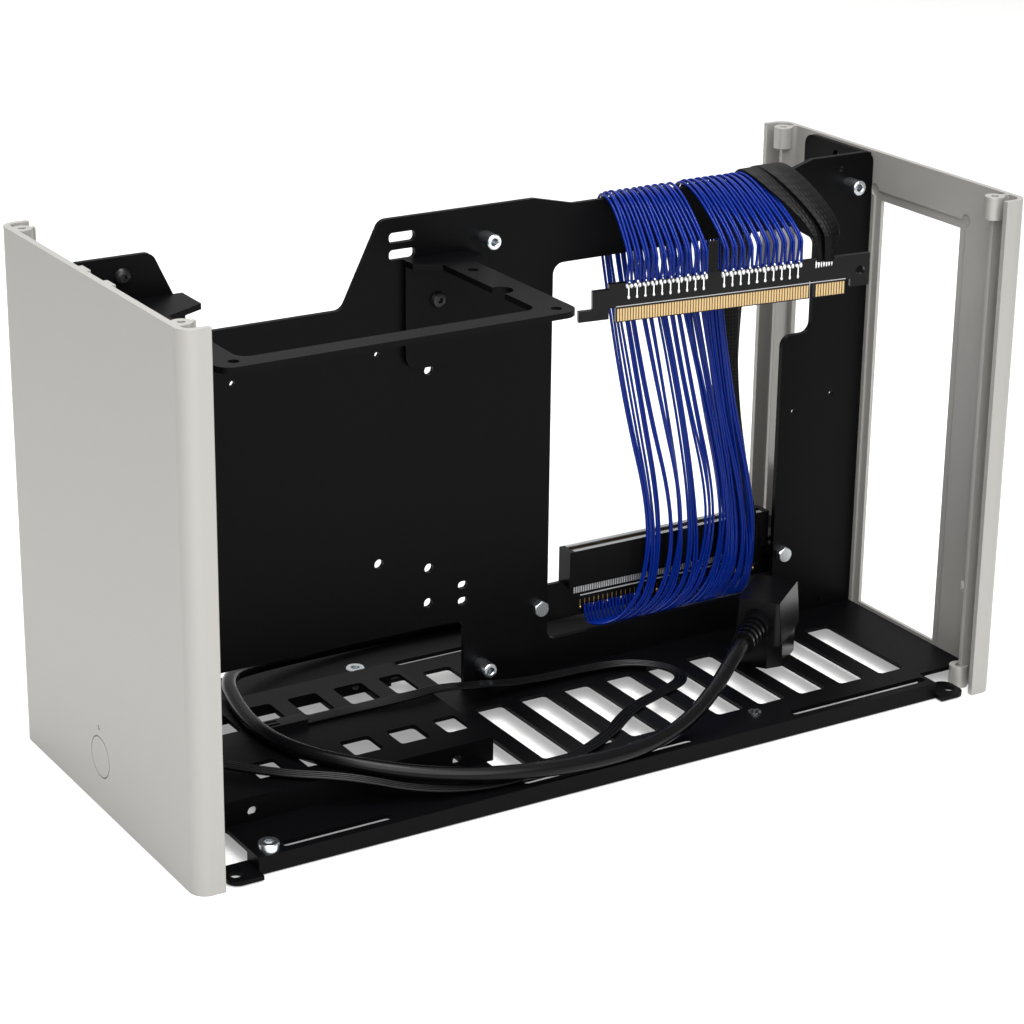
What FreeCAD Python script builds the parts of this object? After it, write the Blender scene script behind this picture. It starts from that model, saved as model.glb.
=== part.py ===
import FreeCAD, Part
import math
import os
import Sketcher
from FreeCAD import Vector

"""Mini-ITX sandwich case: two extruded end panels, folded steel inside, riser, lead and switch.

Lengths are millimetres. X runs across the case (the open near side is +X), Y runs from the
front panel to the rear panel and Z is up. The origin is the middle of the footprint on the floor.
"""

FOLDER = "parts"

SIZES = {
    # whole case
    "case_width": 140.0,
    "case_length": 320.0,
    "case_height": 184.0,
    "sheet": 2.0,
    "floor_sheet": 1.5,
    # extruded end panels
    "panel_corner": 5.5,
    "front_wall": 2.5,
    "rear_wall": 2.0,
    "return_depth": 10.0,
    "return_wall": 2.0,
    "channel_width": 6.4,
    "channel_flange": 1.6,
    "flange_depth": 6.5,
    "boss_radius": 3.5,
    "boss_height": 8.0,
    "boss_bore": 1.25,
    "boss_bore_low": 1.4,
    "boss_inset": 9.2,
    "boss_inset_low": 10.4,
    "front_boss_back": 4.6,
    "rear_boss_back": 7.8,
    "rib_width": 6.3,
    "rib_depth": 1.4,
    "rib_start": 60.0,
    "rib_near": 9.4,
    "rib_far": -9.7,
    # openings of the rear panel
    "io_width": 44.45,
    "io_bottom": 7.46,
    "io_below_board": 2.24,
    "io_recess": 3.5,
    "io_recess_depth": 0.7,
    "relief_radius": 2.2,
    "latch_hole": 4.0,
    "latch_z": 33.0,
    "gpu_right": -17.0,
    "gpu_bottom": 45.0,
    "gpu_corner": 2.0,
    # floor
    "floor_top": 6.6,
    "floor_lip": 0.5,
    "ear_bottom": 0.6,
    "ear_corner": 4.0,
    "ear_hole": 2.1,
    "vent_width": 11.3,
    "vent_corner": 1.6,
    "vent_count": 15,
    "vents_covered": 5,
    "vent_cover": 5.0,
    "vent_near_start": 3.0,
    "vent_far_start": -34.5,
    "vent_far_end": -17.5,
    "slit_width": 3.6,
    "slit_one_length": 40.0,
    "slit_two": -1.5,
    "slit_two_length": 69.0,
    "slit_three_length": 60.0,
    "slit_far": 5.0,
    "slit_far_length": 60.0,
    # tray that carries the main board
    "tray_near": -12.8,
    "tray_front_gap": 0.4,
    "tray_rear_gap": 0.4,
    "tray_notch_drop": 3.6,
    "tray_under": 34.3,
    "tray_corner": 4.0,
    "slot_round": 1.45,
    "slit_tie_high_top": 49.0,
    "slit_tie_high_bottom": 46.0,
    "slit_tie_low_top": 42.9,
    "slit_tie_low_bottom": 39.9,
    "cable_hole": 1.8,
    "tab_hole": 1.75,
    "rivet_hole": 1.0,
    "front_hole": 1.5,
    "cable_one_z": 61.9,
    "cable_two_z": 56.5,
    "cable_three_z": 43.5,
    "rivet_three_z": 93.1,
    "rivet_four_z": 10.0,
    "rivet_five_z": 88.6,
    "window_bottom": 18.9,
    "window_edge_front": 3.6,
    "window_edge_rear": 4.3,
    "window_step_depth": 12.8,
    "window_cut_run": 10.8,
    "rivet_five_back": 6.5,
    "tab_length": 10.0,
    "tab_width": 6.4,
    "standoff_height": 7.0,
    "standoff_radius": 2.7,
    "standoff_bore": 1.25,
    "standoff_base": 1.0,
    "edge_break": 0.3,
    "board_hole_long": 154.94,
    "board_hole_short": 132.08,
    "board_hole_low": 15.3,
    # bracket of the power supply
    "bracket_outer_corner": 6.0,
    "bracket_inner_corner": 4.5,
    "psu_pitch_x": 51.5,
    "psu_pitch_y": 113.0,
    "psu_hole": 1.8,
    "psu_notch": 4.0,
    "psu_notch_in": 1.0,
    "rear_tab_flat": 6.8,
    "rear_tab_root": 11.8,
    "front_tab_flat": 14.1,
    "front_tab_root": 21.8,
    "tab_corner": 5.0,
    # drive tray
    "drive_top": 15.3,
    "drive_sheet": 1.2,
    "drive_near": 41.7,
    "drive_far": -30.5,
    "drive_window": 11.3,
    "drive_pitch": 18.0,
    "drive_far_start": -20.5,
    "drive_far_end": -5.3,
    "drive_near_start": 19.4,
    "drive_near_end": 31.2,
    "drive_windows": 4,
    "drive_last": 8.8,
    "drive_hole_z": 10.0,
    "drive_hole_pitch": 76.6,
    "drive_hole": 1.7,
    "drive_corner": 1.4,
    # rear tie plate
    "tie_corner": 4.0,
    "tie_screw_inset": 7.2,
    # fasteners
    "cap_radius": 3.5,
    "cap_height": 2.8,
    "cap_socket": 1.5,
    "cap_socket_depth": 1.6,
    "button_head_radius": 2.85,
    "button_head_height": 1.65,
    "hex_flats": 5.5,
    "hex_height": 2.4,
    "insert_radius": 2.4,
    "insert_bore": 1.3,
    "insert_height": 0.6,
    # riser, slot side
    "slot_mid": -22.0,
    "pcb_sheet": 1.6,
    "slot_board_bottom": 22.0,
    "slot_board_top": 36.4,
    "slot_width": 7.5,
    "slot_length": 89.0,
    "slot_bottom": 34.6,
    "slot_top": 48.4,
    "slot_groove": 1.8,
    "slot_groove_depth": 8.4,
    "slot_end": 2.0,
    "key_clear": 0.2,
    "key_wall": 1.5,
    "slot_bolt_front": 16.5,
    "slot_bolt_rear": 2.9,
    "slot_board_margin": 5.9,
    "slot_bolt_z": 32.4,
    "spacer_radius": 2.9,
    "bolt_radius": 1.5,
    "bolt_clear": 1.7,
    # riser, card-edge side, measured along and across its own board
    "plug_x": 0.0,
    "plug_yaw": -15.4,
    "plug_rise": 3.0,
    "plug_lean": -6.3,
    "finger_long": 71.65,
    "finger_key": 1.9,
    "finger_short": 11.65,
    "finger_height": 5.6,
    "plug_board_rise": 9.0,
    "plug_ear_front": -13.6,
    "plug_ear_in": -2.6,
    "plug_ear_bottom": -4.0,
    "plug_ear_step": -8.5,
    "plug_ear_top": 7.0,
    "plug_plate_end": 94.0,
    "plug_plate_start": 87.0,
    "plug_plate_bottom": -3.0,
    "plug_plate_hole": 90.5,
    "plug_plate_hole_rise": 3.0,
    "plug_key_rise": 1.0,
    # wires and leads
    "wire_layer": 1.6,
    "wire_clear": 0.1,
    "wire_root": 5.0,
    "wire_tip": 16.0,
    "wire_lower": 58.0,
    "wire_bend": 31.0,
    "wire_loop": 18.4,
    "wire_under": 17.2,
    "wire_foot": 26.0,
    "ribbon_thick": 1.0,
    "ribbon_bend": 36.0,
    "ribbon_foot": 27.0,
    "wire_front_start": 3.0,
    "wire_front_end": 33.5,
    "wire_rear_start": 38.0,
    "wire_rear_end": 68.5,
    "ribbon_start": 73.0,
    "ribbon_end": 85.0,
    "lead_radius": 2.7,
    "lead_straight": 8.0,
    "lead_drop": 5.0,
    "lead_drop_run": 34.0,
    "lead_drop_side": 3.0,
    "switch_lead_width": 5.2,
    "switch_lead_thick": 1.3,
    "switch_lead_exit": 24.0,
    "connector_half": 2.9,
    "connector_height": 2.6,
    "connector_wall": 0.6,
    "connector_window": 1.3,
    "connector_window_length": 4.2,
    # mains plug and inlet
    "plug_block_length": 28.5,
    "plug_block_width": 18.6,
    "plug_block_height": 16.0,
    "plug_block_corner": 2.5,
    "plug_block_taper": 5.0,
    "plug_nose_length": 25.6,
    "plug_nose_width": 17.2,
    "plug_nose_height": 10.0,
    "plug_nose_cut": 4.5,
    "pin_out": 7.0,
    "pin_back": 2.0,
    "pin_slot_width": 2.4,
    "pin_slot_length": 4.4,
    "pin_width": 4.0,
    "pin_thick": 2.0,
    "plug_block_x": 14.2,
    "plug_block_yaw": 37.8,
    "plug_exit": 16.8,
    "collar_radius": 6.4,
    "collar_depth": 4.0,
    "relief_length": 17.0,
    "relief_root": 5.4,
    "relief_tip": 4.0,
    "relief_rib": 0.7,
    "relief_ribs": 4,
    "inlet_z": 21.0,
    "inlet_flange_width": 31.0,
    "inlet_flange_height": 24.0,
    "inlet_flange": 0.9,
    "inlet_cut_width": 27.4,
    "inlet_cut_height": 20.0,
    "inlet_depth": 19.0,
    "inlet_socket_width": 24.4,
    "inlet_socket_height": 16.8,
    "inlet_socket_depth": 15.0,
    "inlet_pin_height": 11.0,
    "inlet_clear": 0.2,
    # power button
    "button_x": -2.6,
    "button_z": 19.0,
    "button_radius": 7.0,
    "button_gap": 0.3,
    "button_flange": 7.9,
    "button_flange_thick": 1.2,
    "button_stem": 2.0,
    "button_stem_length": 0.6,
    "housing_width": 22.0,
    "housing_bottom": 6.6,
    "housing_top": 33.0,
    "housing_depth": 7.5,
    "housing_bore": 8.35,
    "switch_board_inset": 1.0,
    "switch_body": 6.0,
    "switch_height": 3.4,
    "switch_plunger": 1.75,
    "switch_plunger_length": 0.7,
    "led_x": -3.0,
    "led_z": 29.4,
    "led_radius": 0.75,
    "led_gap": 0.15,
}

# distances back from the outer face of the front panel
FROM_FRONT = {
    "tray_front_top_end": 29.0,
    "tray_low_start": 42.7,
    "bracket_front": 14.0,
    "bracket_inner_front": 24.0,
    "bracket_inner_rear": 128.6,
    "bracket_rear": 140.0,
    "psu_hole_y": 21.0,
    "front_tab_front": 14.0,
    "front_tab_rear": 39.0,
    "rear_tab_front": 120.0,
    "rear_tab_rear": 146.5,
    "drive_front": 20.0,
    "drive_rear": 124.2,
    "drive_far_first": 41.6,
    "drive_near_first": 40.7,
    "drive_hole_y": 33.4,
    "vent_first": 31.52,
    "slit_one": 54.0,
    "cable_one_y": 110.4,
    "cable_two_y": 130.3,
    "cable_three_y": 130.1,
    "tab_hole_y": 130.1,
    "rivet_one_y": 110.0,
    "rivet_two_y": 56.0,
    "front_hole_y": 18.5,
    "floor_screw_y": 29.0,
    "floor_screw_far_y": 118.0,
    "bracket_screw_rear": 132.4,
    "bracket_screw_front": 27.0,
    "connector_front": 59.8,
    "connector_rear": 74.0,
}

# distances forward from the outer face of the rear panel
FROM_REAR = {
    "floor_step": 23.5,
    "ear_end": 12.2,
    "ear_hole_y": 16.0,
    "vent_last": 24.76,
    "slit_three": 55.0,
    "tray_leg": 175.3,
    "tray_low_end": 223.0,
    "tray_high_start": 208.5,
    "tray_notch_start": 148.3,
    "tray_notch_flat": 132.5,
    "tray_notch_end": 42.0,
    "tray_notch_back": 30.0,
    "board_hole_front": 168.29,
    "slot_high_start": 205.3,
    "slot_high_end": 195.3,
    "slit_tie_start": 177.9,
    "slit_tie_end": 173.9,
    "slot_front": 127.6,
    "plug_y": 122.9,
    "plug_block_y": 62.0,
    "rivet_three_y": 16.3,
    "rivet_four_y": 17.3,
    "rivet_six_y": 16.8,
    "foot_tab_front": 165.62,
    "foot_tab_middle": 93.5,
    "foot_tab_rear": 21.38,
    "insert_front": 169.8,
    "insert_rear": 96.0,
}

# distances down from the top edge
FROM_TOP = {
    "io_top": 17.79,
    "gpu_top": 34.0,
    "tray_low": 29.0,
    "window_top": 24.0,
    "window_step": 65.5,
    "window_shoulder": 30.4,
    "board_hole_top": 11.22,
    "slot_top_high": 4.9,
    "slot_top_low": 8.5,
    "slot_next_high": 10.8,
    "slot_next_low": 14.4,
    "bracket_top": 14.5,
    "rear_tab_bottom": 53.0,
    "front_tab_bottom": 27.0,
    "tie_top": 1.0,
    "tie_bottom": 18.0,
    "tie_hole_z": 5.4,
    "plug_z": 38.8,
    "tab_hole_z": 54.9,
    "rivet_one_z": 46.3,
    "rivet_two_z": 48.0,
    "rivet_six_z": 5.1,
    "front_hole_z": 6.5,
    "bracket_screw_rear_z": 29.6,
    "bracket_screw_front_z": 21.5,
    "tie_screw_z": 12.5,
    "wire_high": 26.0,
    "wire_middle": 80.0,
}

# distances in from the near side
FROM_NEAR = {
    "latch_x": 19.0,
    "floor_half": 4.0,
    "floor_front_half": 30.0,
    "floor_rear_half": 13.5,
    "ear_out": 0.3,
    "ear_in": 12.5,
    "ear_hole_x": 5.7,
    "vent_near_end": 20.5,
    "slit_x": 9.0,
    "bracket_near": 3.2,
    "bracket_inner_near": 11.2,
    "psu_notch_x": 35.3,
    "psu_hole_near": 8.9,
    "floor_screw_x": 8.0,
    "insert_x": 15.5,
}

# distances in from the far side
FROM_FAR = {
    "gpu_left": 12.0,
    "slit_far_x": 24.0,
    "tie_left": 18.0,
    "tie_hole_x": 37.0,
    "inlet_x": 32.0,
    "floor_screw_far_x": 25.0,
    "tie_screw_far": 26.0,
}

# middle and half width of each wire group at its stops, the middle forward from the rear face
WIRE_STOPS = {
    "riser_wires_front": {"over": (105.5, 15.2), "behind": (104.5, 15.2), "high": (102.0, 15.5),
                          "middle": (93.0, 16.0), "lower": (81.0, 16.0), "bend": (84.0, 16.0),
                          "loop": (94.0, 15.5), "under": (102.0, 15.2), "foot": (105.0, 15.2)},
    "riser_wires_rear": {"over": (71.0, 15.2), "behind": (72.0, 14.5), "high": (76.0, 10.5),
                         "middle": (69.0, 7.0), "lower": (57.0, 7.0), "bend": (55.0, 9.0),
                         "loop": (61.0, 13.0), "under": (67.0, 15.0), "foot": (69.0, 15.2)},
    "riser_ribbon": {"over": (50.5, 5.8), "behind": (50.0, 5.8), "high": (48.0, 5.8),
                     "middle": (47.5, 5.8), "lower": (47.0, 5.8), "bend": (47.0, 5.8),
                     "foot": (47.0, 5.8)},
}

# how far behind the tray's far face the wires and the ribbon pass at each stop
WIRE_DEPTHS = {"over": -6.0, "behind": 6.5, "high": 5.5, "middle": -0.6, "lower": -0.8, "bend": 0.2,
               "loop": 2.5, "under": 4.8}
RIBBON_DEPTHS = {"high": 6.0, "middle": 2.5, "lower": 1.8, "bend": 2.2}

# stops of the leads in plan and over the floor, drawn for this half width and half length
DRAWN_HALF = 70.0
DRAWN_REAR = 160.0
LEAD_STOPS = ((-58, 50, 0.0), (-64, 8, 0.0), (-65, -34, 0.0), (-60, -73, 2.0), (-42, -96, 9.3),
              (-14, -103.4, 8.7), (9, -104.8, 8.7), (29, -99, 8.7), (45.5, -83.5, 7.2),
              (55.5, -63.5, 4.0), (62.5, -38, 1.6), (65, -10, 0.2), (63.5, 13, 0.0), (57, 33, 1.4),
              (48.5, 51, 7.0))
SWITCH_STOPS = ((14, -131, 10.2), (33, -113, 9.4), (46, -93, 8.9), (56.5, -70, 2.6),
                (60.5, -44, 0.1), (57, -14, 1.3), (46.1, 7.8, 0.1), (31, 27, 0.1), (25, 44, 0.1),
                (20.5, 58, 0.7), (9, 58.5, 1.3), (-2, 46, 1.6), (-4.2, 26, 1.4), (-3.4, 4, 2.2),
                (-1.6, -24, 7.6), (1, -36, 10.0), (2, -46, 9.7), (0, -67, 8.9))


class Dim:
    """A length together with the sheet formula it comes from."""

    def __init__(self, value, text):
        self.value = float(value)
        self.text = text

    def __add__(self, other):
        other = dim(other)
        return Dim(self.value + other.value, f"({self.text} + {other.text})")

    def __sub__(self, other):
        other = dim(other)
        return Dim(self.value - other.value, f"({self.text} - {other.text})")

    def __mul__(self, other):
        other = dim(other)
        return Dim(self.value * other.value, f"({self.text} * {other.text})")

    def __truediv__(self, other):
        other = dim(other)
        return Dim(self.value / other.value, f"({self.text} / {other.text})")

    def __neg__(self):
        return Dim(-self.value, f"(0 - {self.text})")


def dim(value):
    """A plain number as a Dim."""
    return value if isinstance(value, Dim) else Dim(value, f"({value:.6g})")


class Sheet:
    """The driving sizes: cells of a spreadsheet, read here as lengths and places in the case."""

    def __init__(self, doc):
        cells = doc.addObject("Spreadsheet::Sheet", "Sizes")
        every = {**SIZES, **FROM_FRONT, **FROM_REAR, **FROM_TOP, **FROM_NEAR, **FROM_FAR}
        for row, (name, value) in enumerate(every.items(), start=1):
            cells.set(f"A{row}", name)
            cells.set(f"B{row}", f"{value:g}")
            cells.setAlias(f"B{row}", name)
        doc.recompute()
        for name in every:
            setattr(self, name, Dim(cells.get(name), f"Sizes.{name}"))
        half, rear, top = self.case_width / 2, self.case_length / 2, self.case_height
        self.place(FROM_FRONT, lambda gap: gap - rear)
        self.place(FROM_REAR, lambda gap: rear - gap)
        self.place(FROM_TOP, lambda gap: top - gap)
        self.place(FROM_NEAR, lambda gap: half - gap)
        self.place(FROM_FAR, lambda gap: gap - half)

    def place(self, names, measure):
        """Turn distances from a face into places in the case."""
        for name in names:
            setattr(self, name, measure(getattr(self, name)))


DOC = FreeCAD.newDocument("MiniItxCase")
S = Sheet(DOC)
NODES = []


def new_body(name):
    """A body that becomes one node of the part."""
    body = DOC.addObject("PartDesign::Body", name)
    body.Label = name
    NODES.append(body)
    return body


def origin_plane(body, role):
    for feature in body.Origin.OriginFeatures:
        if feature.Role == role:
            return feature
    raise ValueError(role)


class Profile:
    """A sketch on one of a body's own planes, with every point held by sizes."""

    def __init__(self, body, plane, offset=0.0):
        self.sketch = body.newObject("Sketcher::SketchObject", f"{body.Name}_profile")
        self.sketch.AttachmentSupport = (origin_plane(body, plane), [""])
        self.sketch.MapMode = "FlatFace"
        self.sketch.setExpression("AttachmentOffset.Base.z", dim(offset).text)

    def bind(self, kind, *args):
        *ends, size = args
        index = self.sketch.addConstraint(Sketcher.Constraint(kind, *ends, size.value))
        self.sketch.setExpression(f"Constraints[{index}]", size.text)

    def hold(self, geometry, point, across, up):
        self.bind("DistanceX", -1, 1, geometry, point, dim(across))
        self.bind("DistanceY", -1, 1, geometry, point, dim(up))

    def polygon(self, points):
        points = [(dim(u), dim(v)) for u, v in points]
        spots = [Vector(u.value, v.value, 0) for u, v in points]
        lines = []
        for start, end in zip(spots, spots[1:] + spots[:1]):
            lines.append(self.sketch.addGeometry(Part.LineSegment(start, end)))
        for line, following in zip(lines, lines[1:] + lines[:1]):
            self.sketch.addConstraint(Sketcher.Constraint("Coincident", line, 2, following, 1))
        for line, (u, v) in zip(lines, points):
            self.hold(line, 1, u, v)
        return self

    def rectangle(self, left, right, low, high):
        return self.polygon([(left, low), (right, low), (right, high), (left, high)])

    def rounded(self, left, right, low, high, radius):
        """A rectangle with round corners."""
        left, right, low, high, radius = (dim(v) for v in (left, right, low, high, radius))
        ends = [(right - radius, high - radius), (left + radius, high - radius),
                (left + radius, low + radius), (right - radius, low + radius)]
        reach, axis = radius.value, Vector(0, 0, 1)
        arcs, spots = [], []
        for turn, (u, v) in enumerate(ends):
            middle = Vector(u.value, v.value, 0)
            start = turn * math.pi / 2
            arc = Part.ArcOfCircle(Part.Circle(middle, axis, reach), start, start + math.pi / 2)
            arcs.append(self.sketch.addGeometry(arc))
            spots.append((arc.StartPoint, arc.EndPoint))
        sides = []
        for turn in range(4):
            begin, finish = spots[turn][1], spots[(turn + 1) % 4][0]
            sides.append(self.sketch.addGeometry(Part.LineSegment(begin, finish)))
        for turn in range(4):
            after = arcs[(turn + 1) % 4]
            self.sketch.addConstraint(Sketcher.Constraint("Tangent", arcs[turn], 2, sides[turn], 1))
            self.sketch.addConstraint(Sketcher.Constraint("Tangent", sides[turn], 2, after, 1))
            self.hold(arcs[turn], 3, *ends[turn])
        for arc in arcs[1:]:
            self.sketch.addConstraint(Sketcher.Constraint("Equal", arcs[0], arc))
        self.bind("Radius", arcs[0], radius)
        return self

    def circle(self, across, up, radius):
        across, up, radius = dim(across), dim(up), dim(radius)
        centre = Vector(across.value, up.value, 0)
        ring = self.sketch.addGeometry(Part.Circle(centre, Vector(0, 0, 1), radius.value))
        self.hold(ring, 3, across, up)
        self.bind("Radius", ring, radius)
        return self

    def slot(self, across, up, length, width):
        """A slot with round ends, its length along the sketch's second axis."""
        across, up, length, width = dim(across), dim(up), dim(length), dim(width)
        reach, radius = (length - width) / 2, width / 2
        top = Vector(across.value, (up + reach).value, 0)
        low = Vector(across.value, (up - reach).value, 0)
        side = Vector(radius.value, 0, 0)
        axis = Vector(0, 0, 1)
        upper = Part.ArcOfCircle(Part.Circle(top, axis, radius.value), 0, math.pi)
        lower = Part.ArcOfCircle(Part.Circle(low, axis, radius.value), math.pi, 2 * math.pi)
        cap = self.sketch.addGeometry(upper)
        left = self.sketch.addGeometry(Part.LineSegment(top - side, low - side))
        foot = self.sketch.addGeometry(lower)
        right = self.sketch.addGeometry(Part.LineSegment(low + side, top + side))
        loop = [cap, left, foot, right]
        for first, second in zip(loop, loop[1:] + loop[:1]):
            self.sketch.addConstraint(Sketcher.Constraint("Tangent", first, 2, second, 1))
        self.sketch.addConstraint(Sketcher.Constraint("Equal", cap, foot))
        self.hold(cap, 3, across, up + reach)
        self.hold(foot, 3, across, up - reach)
        self.bind("Radius", cap, radius)
        return self


def add(body, kind, profile, length, reverse=False):
    """A pad or pocket of one profile by a bound length."""
    feature = body.newObject(f"PartDesign::{kind}", f"{body.Name}_{kind.lower()}")
    feature.Profile = profile.sketch
    length = dim(length)
    feature.Length = length.value
    feature.setExpression("Length", length.text)
    feature.Reversed = reverse
    profile.sketch.Visibility = False
    DOC.recompute()
    return feature


def round_edges(body, axis, spots, radius):
    """Fillet the edges that run along one axis through the given spots."""
    base = body.Tip
    others = [i for i in range(3) if i != axis]
    wanted = [(dim(u).value, dim(v).value) for u, v in spots]
    names = []
    for number, edge in enumerate(base.Shape.Edges, start=1):
        ends = [vertex.Point for vertex in edge.Vertexes]
        if len(ends) != 2 or abs(ends[0][axis] - ends[1][axis]) < 1e-6:
            continue
        if any(abs(ends[0][i] - ends[1][i]) > 1e-6 for i in others):
            continue
        spot = tuple(ends[0][i] for i in others)
        if any(math.dist(spot, want) < 1e-4 for want in wanted):
            names.append(f"Edge{number}")
    feature = body.newObject("PartDesign::Fillet", f"{body.Name}_fillet")
    feature.Base = (base, names)
    radius = dim(radius)
    feature.Radius = radius.value
    feature.setExpression("Radius", radius.text)
    DOC.recompute()
    return feature


def repeat(body, feature, count, pitch):
    """A linear pattern of one feature along Y."""
    pattern = body.newObject("PartDesign::LinearPattern", f"{body.Name}_pattern")
    pattern.Originals = [feature]
    pattern.Direction = (origin_plane(body, "Y_Axis"), [""])
    pattern.Occurrences = int(count.value)
    pattern.setExpression("Occurrences", count.text)
    span = pitch * (count - 1)
    pattern.Length = span.value
    pattern.setExpression("Length", span.text)
    body.Tip = pattern
    DOC.recompute()
    return pattern


def grow(body, plane, offset, length, draw, kind="Pad", reverse=False):
    """One profile, drawn by a callable, padded or pocketed."""
    profile = Profile(body, plane, offset)
    draw(profile)
    return add(body, kind, profile, length, reverse)


def copies(name, master, spots):
    """Separate solids of one fastener, gathered as one node."""
    node = DOC.addObject("Part::Feature", name)
    node.Label = name
    solids = []
    for placement in spots:
        solid = master.copy()
        solid.Placement = placement.multiply(solid.Placement)
        solids.append(solid)
    node.Shape = Part.makeCompound(solids)
    NODES.append(node)
    return node


def solid_node(name, shape):
    node = DOC.addObject("Part::Feature", name)
    node.Label = name
    node.Shape = shape
    NODES.append(node)
    return node


HALF = S.case_width / 2
FRONT = -(S.case_length / 2)
REAR = S.case_length / 2
FRONT_INNER = FRONT + S.front_wall
REAR_INNER = REAR - S.rear_wall
TRAY_FAR = S.tray_near - S.sheet
BOARD_PLANE = S.tray_near + S.standoff_height
IO_LEFT = BOARD_PLANE - S.io_below_board
IO_TOP = S.io_top
FLOOR_UNDER = S.floor_top - S.floor_sheet
SLOT_BOLTS = (S.slot_front - S.slot_bolt_front, S.slot_front + S.slot_length + S.slot_bolt_rear)
VENT_PITCH = (S.vent_last - S.vent_width - S.vent_first) / (S.vent_count - 1)


def panel_outline(face, inner, inward):
    """Plan of an end panel: skin, two returns and the flange of each side channel."""
    skin = HALF - S.return_wall
    flange_out = skin - S.channel_width
    flange_in = flange_out - S.channel_flange
    lip = face + S.return_depth * inward
    end = inner + S.flange_depth * inward
    side = [(HALF, face), (HALF, lip), (skin, lip), (skin, inner), (flange_out, inner),
            (flange_out, end), (flange_in, end), (flange_in, inner)]
    return side + [(-x, y) for x, y in reversed(side)]


def end_panel(name, face, inner, inward, boss_back, wall):
    """An end panel with its corner radii and the four threaded screw bosses."""
    body = new_body(name)
    grow(body, "XY_Plane", 0, S.case_height,
         lambda p: p.polygon(panel_outline(face, inner, inward)))
    round_edges(body, 2, [(HALF, face), (-HALF, face)], S.panel_corner)
    skin = HALF - S.return_wall
    round_edges(body, 2, [(skin, inner), (-skin, inner)], S.panel_corner - wall)
    boss_y = face + boss_back * inward

    def pair(radius, inset):
        x = HALF - inset
        return lambda p: p.circle(x, boss_y, radius).circle(-x, boss_y, radius)

    top = S.case_height - S.boss_height
    grow(body, "XY_Plane", 0, S.boss_height, pair(S.boss_radius, S.boss_inset_low))
    grow(body, "XY_Plane", top, S.boss_height, pair(S.boss_radius, S.boss_inset))
    grow(body, "XY_Plane", S.case_height, S.boss_height, pair(S.boss_bore, S.boss_inset), "Pocket")
    grow(body, "XY_Plane", 0, S.boss_height, pair(S.boss_bore_low, S.boss_inset_low), "Pocket", True)
    return body


def front_panel():
    body = end_panel("front_panel", FRONT, FRONT_INNER, 1, S.front_boss_back, S.front_wall)
    back = FRONT_INNER + S.rib_depth

    def ribs(p):
        p.rectangle(S.rib_near, S.rib_near + S.rib_width, FRONT_INNER - 1, back)
        p.rectangle(S.rib_far, S.rib_far + S.rib_width, FRONT_INNER - 1, back)

    grow(body, "XY_Plane", S.rib_start, S.case_height - S.rib_start, ribs)

    def holes(p):
        p.circle(S.button_x, S.button_z, S.button_radius + S.button_gap)
        p.circle(S.led_x, S.led_z, S.led_radius + S.led_gap)

    grow(body, "XZ_Plane", -FRONT, S.front_wall * 2, holes, "Pocket")


def rear_panel():
    body = end_panel("rear_panel", REAR, REAR_INNER, -1, S.rear_boss_back, S.rear_wall)
    io_right = IO_LEFT + S.io_width
    left, right = IO_LEFT - S.io_recess, io_right + S.io_recess
    low, high = S.io_bottom - S.io_recess, IO_TOP + S.io_recess

    def openings(p):
        p.rectangle(IO_LEFT, io_right, S.io_bottom, IO_TOP)
        p.rectangle(S.gpu_left, S.gpu_right, S.gpu_bottom, S.gpu_top)
        p.rectangle(S.latch_x, S.latch_x + S.latch_hole, S.latch_z, S.latch_z + S.latch_hole)
        across, up = S.inlet_cut_width / 2, S.inlet_cut_height / 2
        p.rectangle(S.inlet_x - across, S.inlet_x + across, S.inlet_z - up, S.inlet_z + up)

    grow(body, "XZ_Plane", -REAR, S.rear_wall * 2, openings, "Pocket", True)
    bottom = -REAR_INNER - S.io_recess_depth
    grow(body, "XZ_Plane", bottom, S.io_recess_depth * 2,
         lambda p: p.rectangle(left, right, low, high), "Pocket", True)

    def reliefs(p):
        for x in (left, right):
            for z in (low, high):
                p.circle(x, z, S.relief_radius)

    grow(body, "XZ_Plane", bottom, S.io_recess_depth * 2, reliefs, "Pocket", True)
    corners = [(x, z) for x in (S.gpu_left, S.gpu_right) for z in (S.gpu_bottom, S.gpu_top)]
    round_edges(body, 1, corners, S.gpu_corner)


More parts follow.
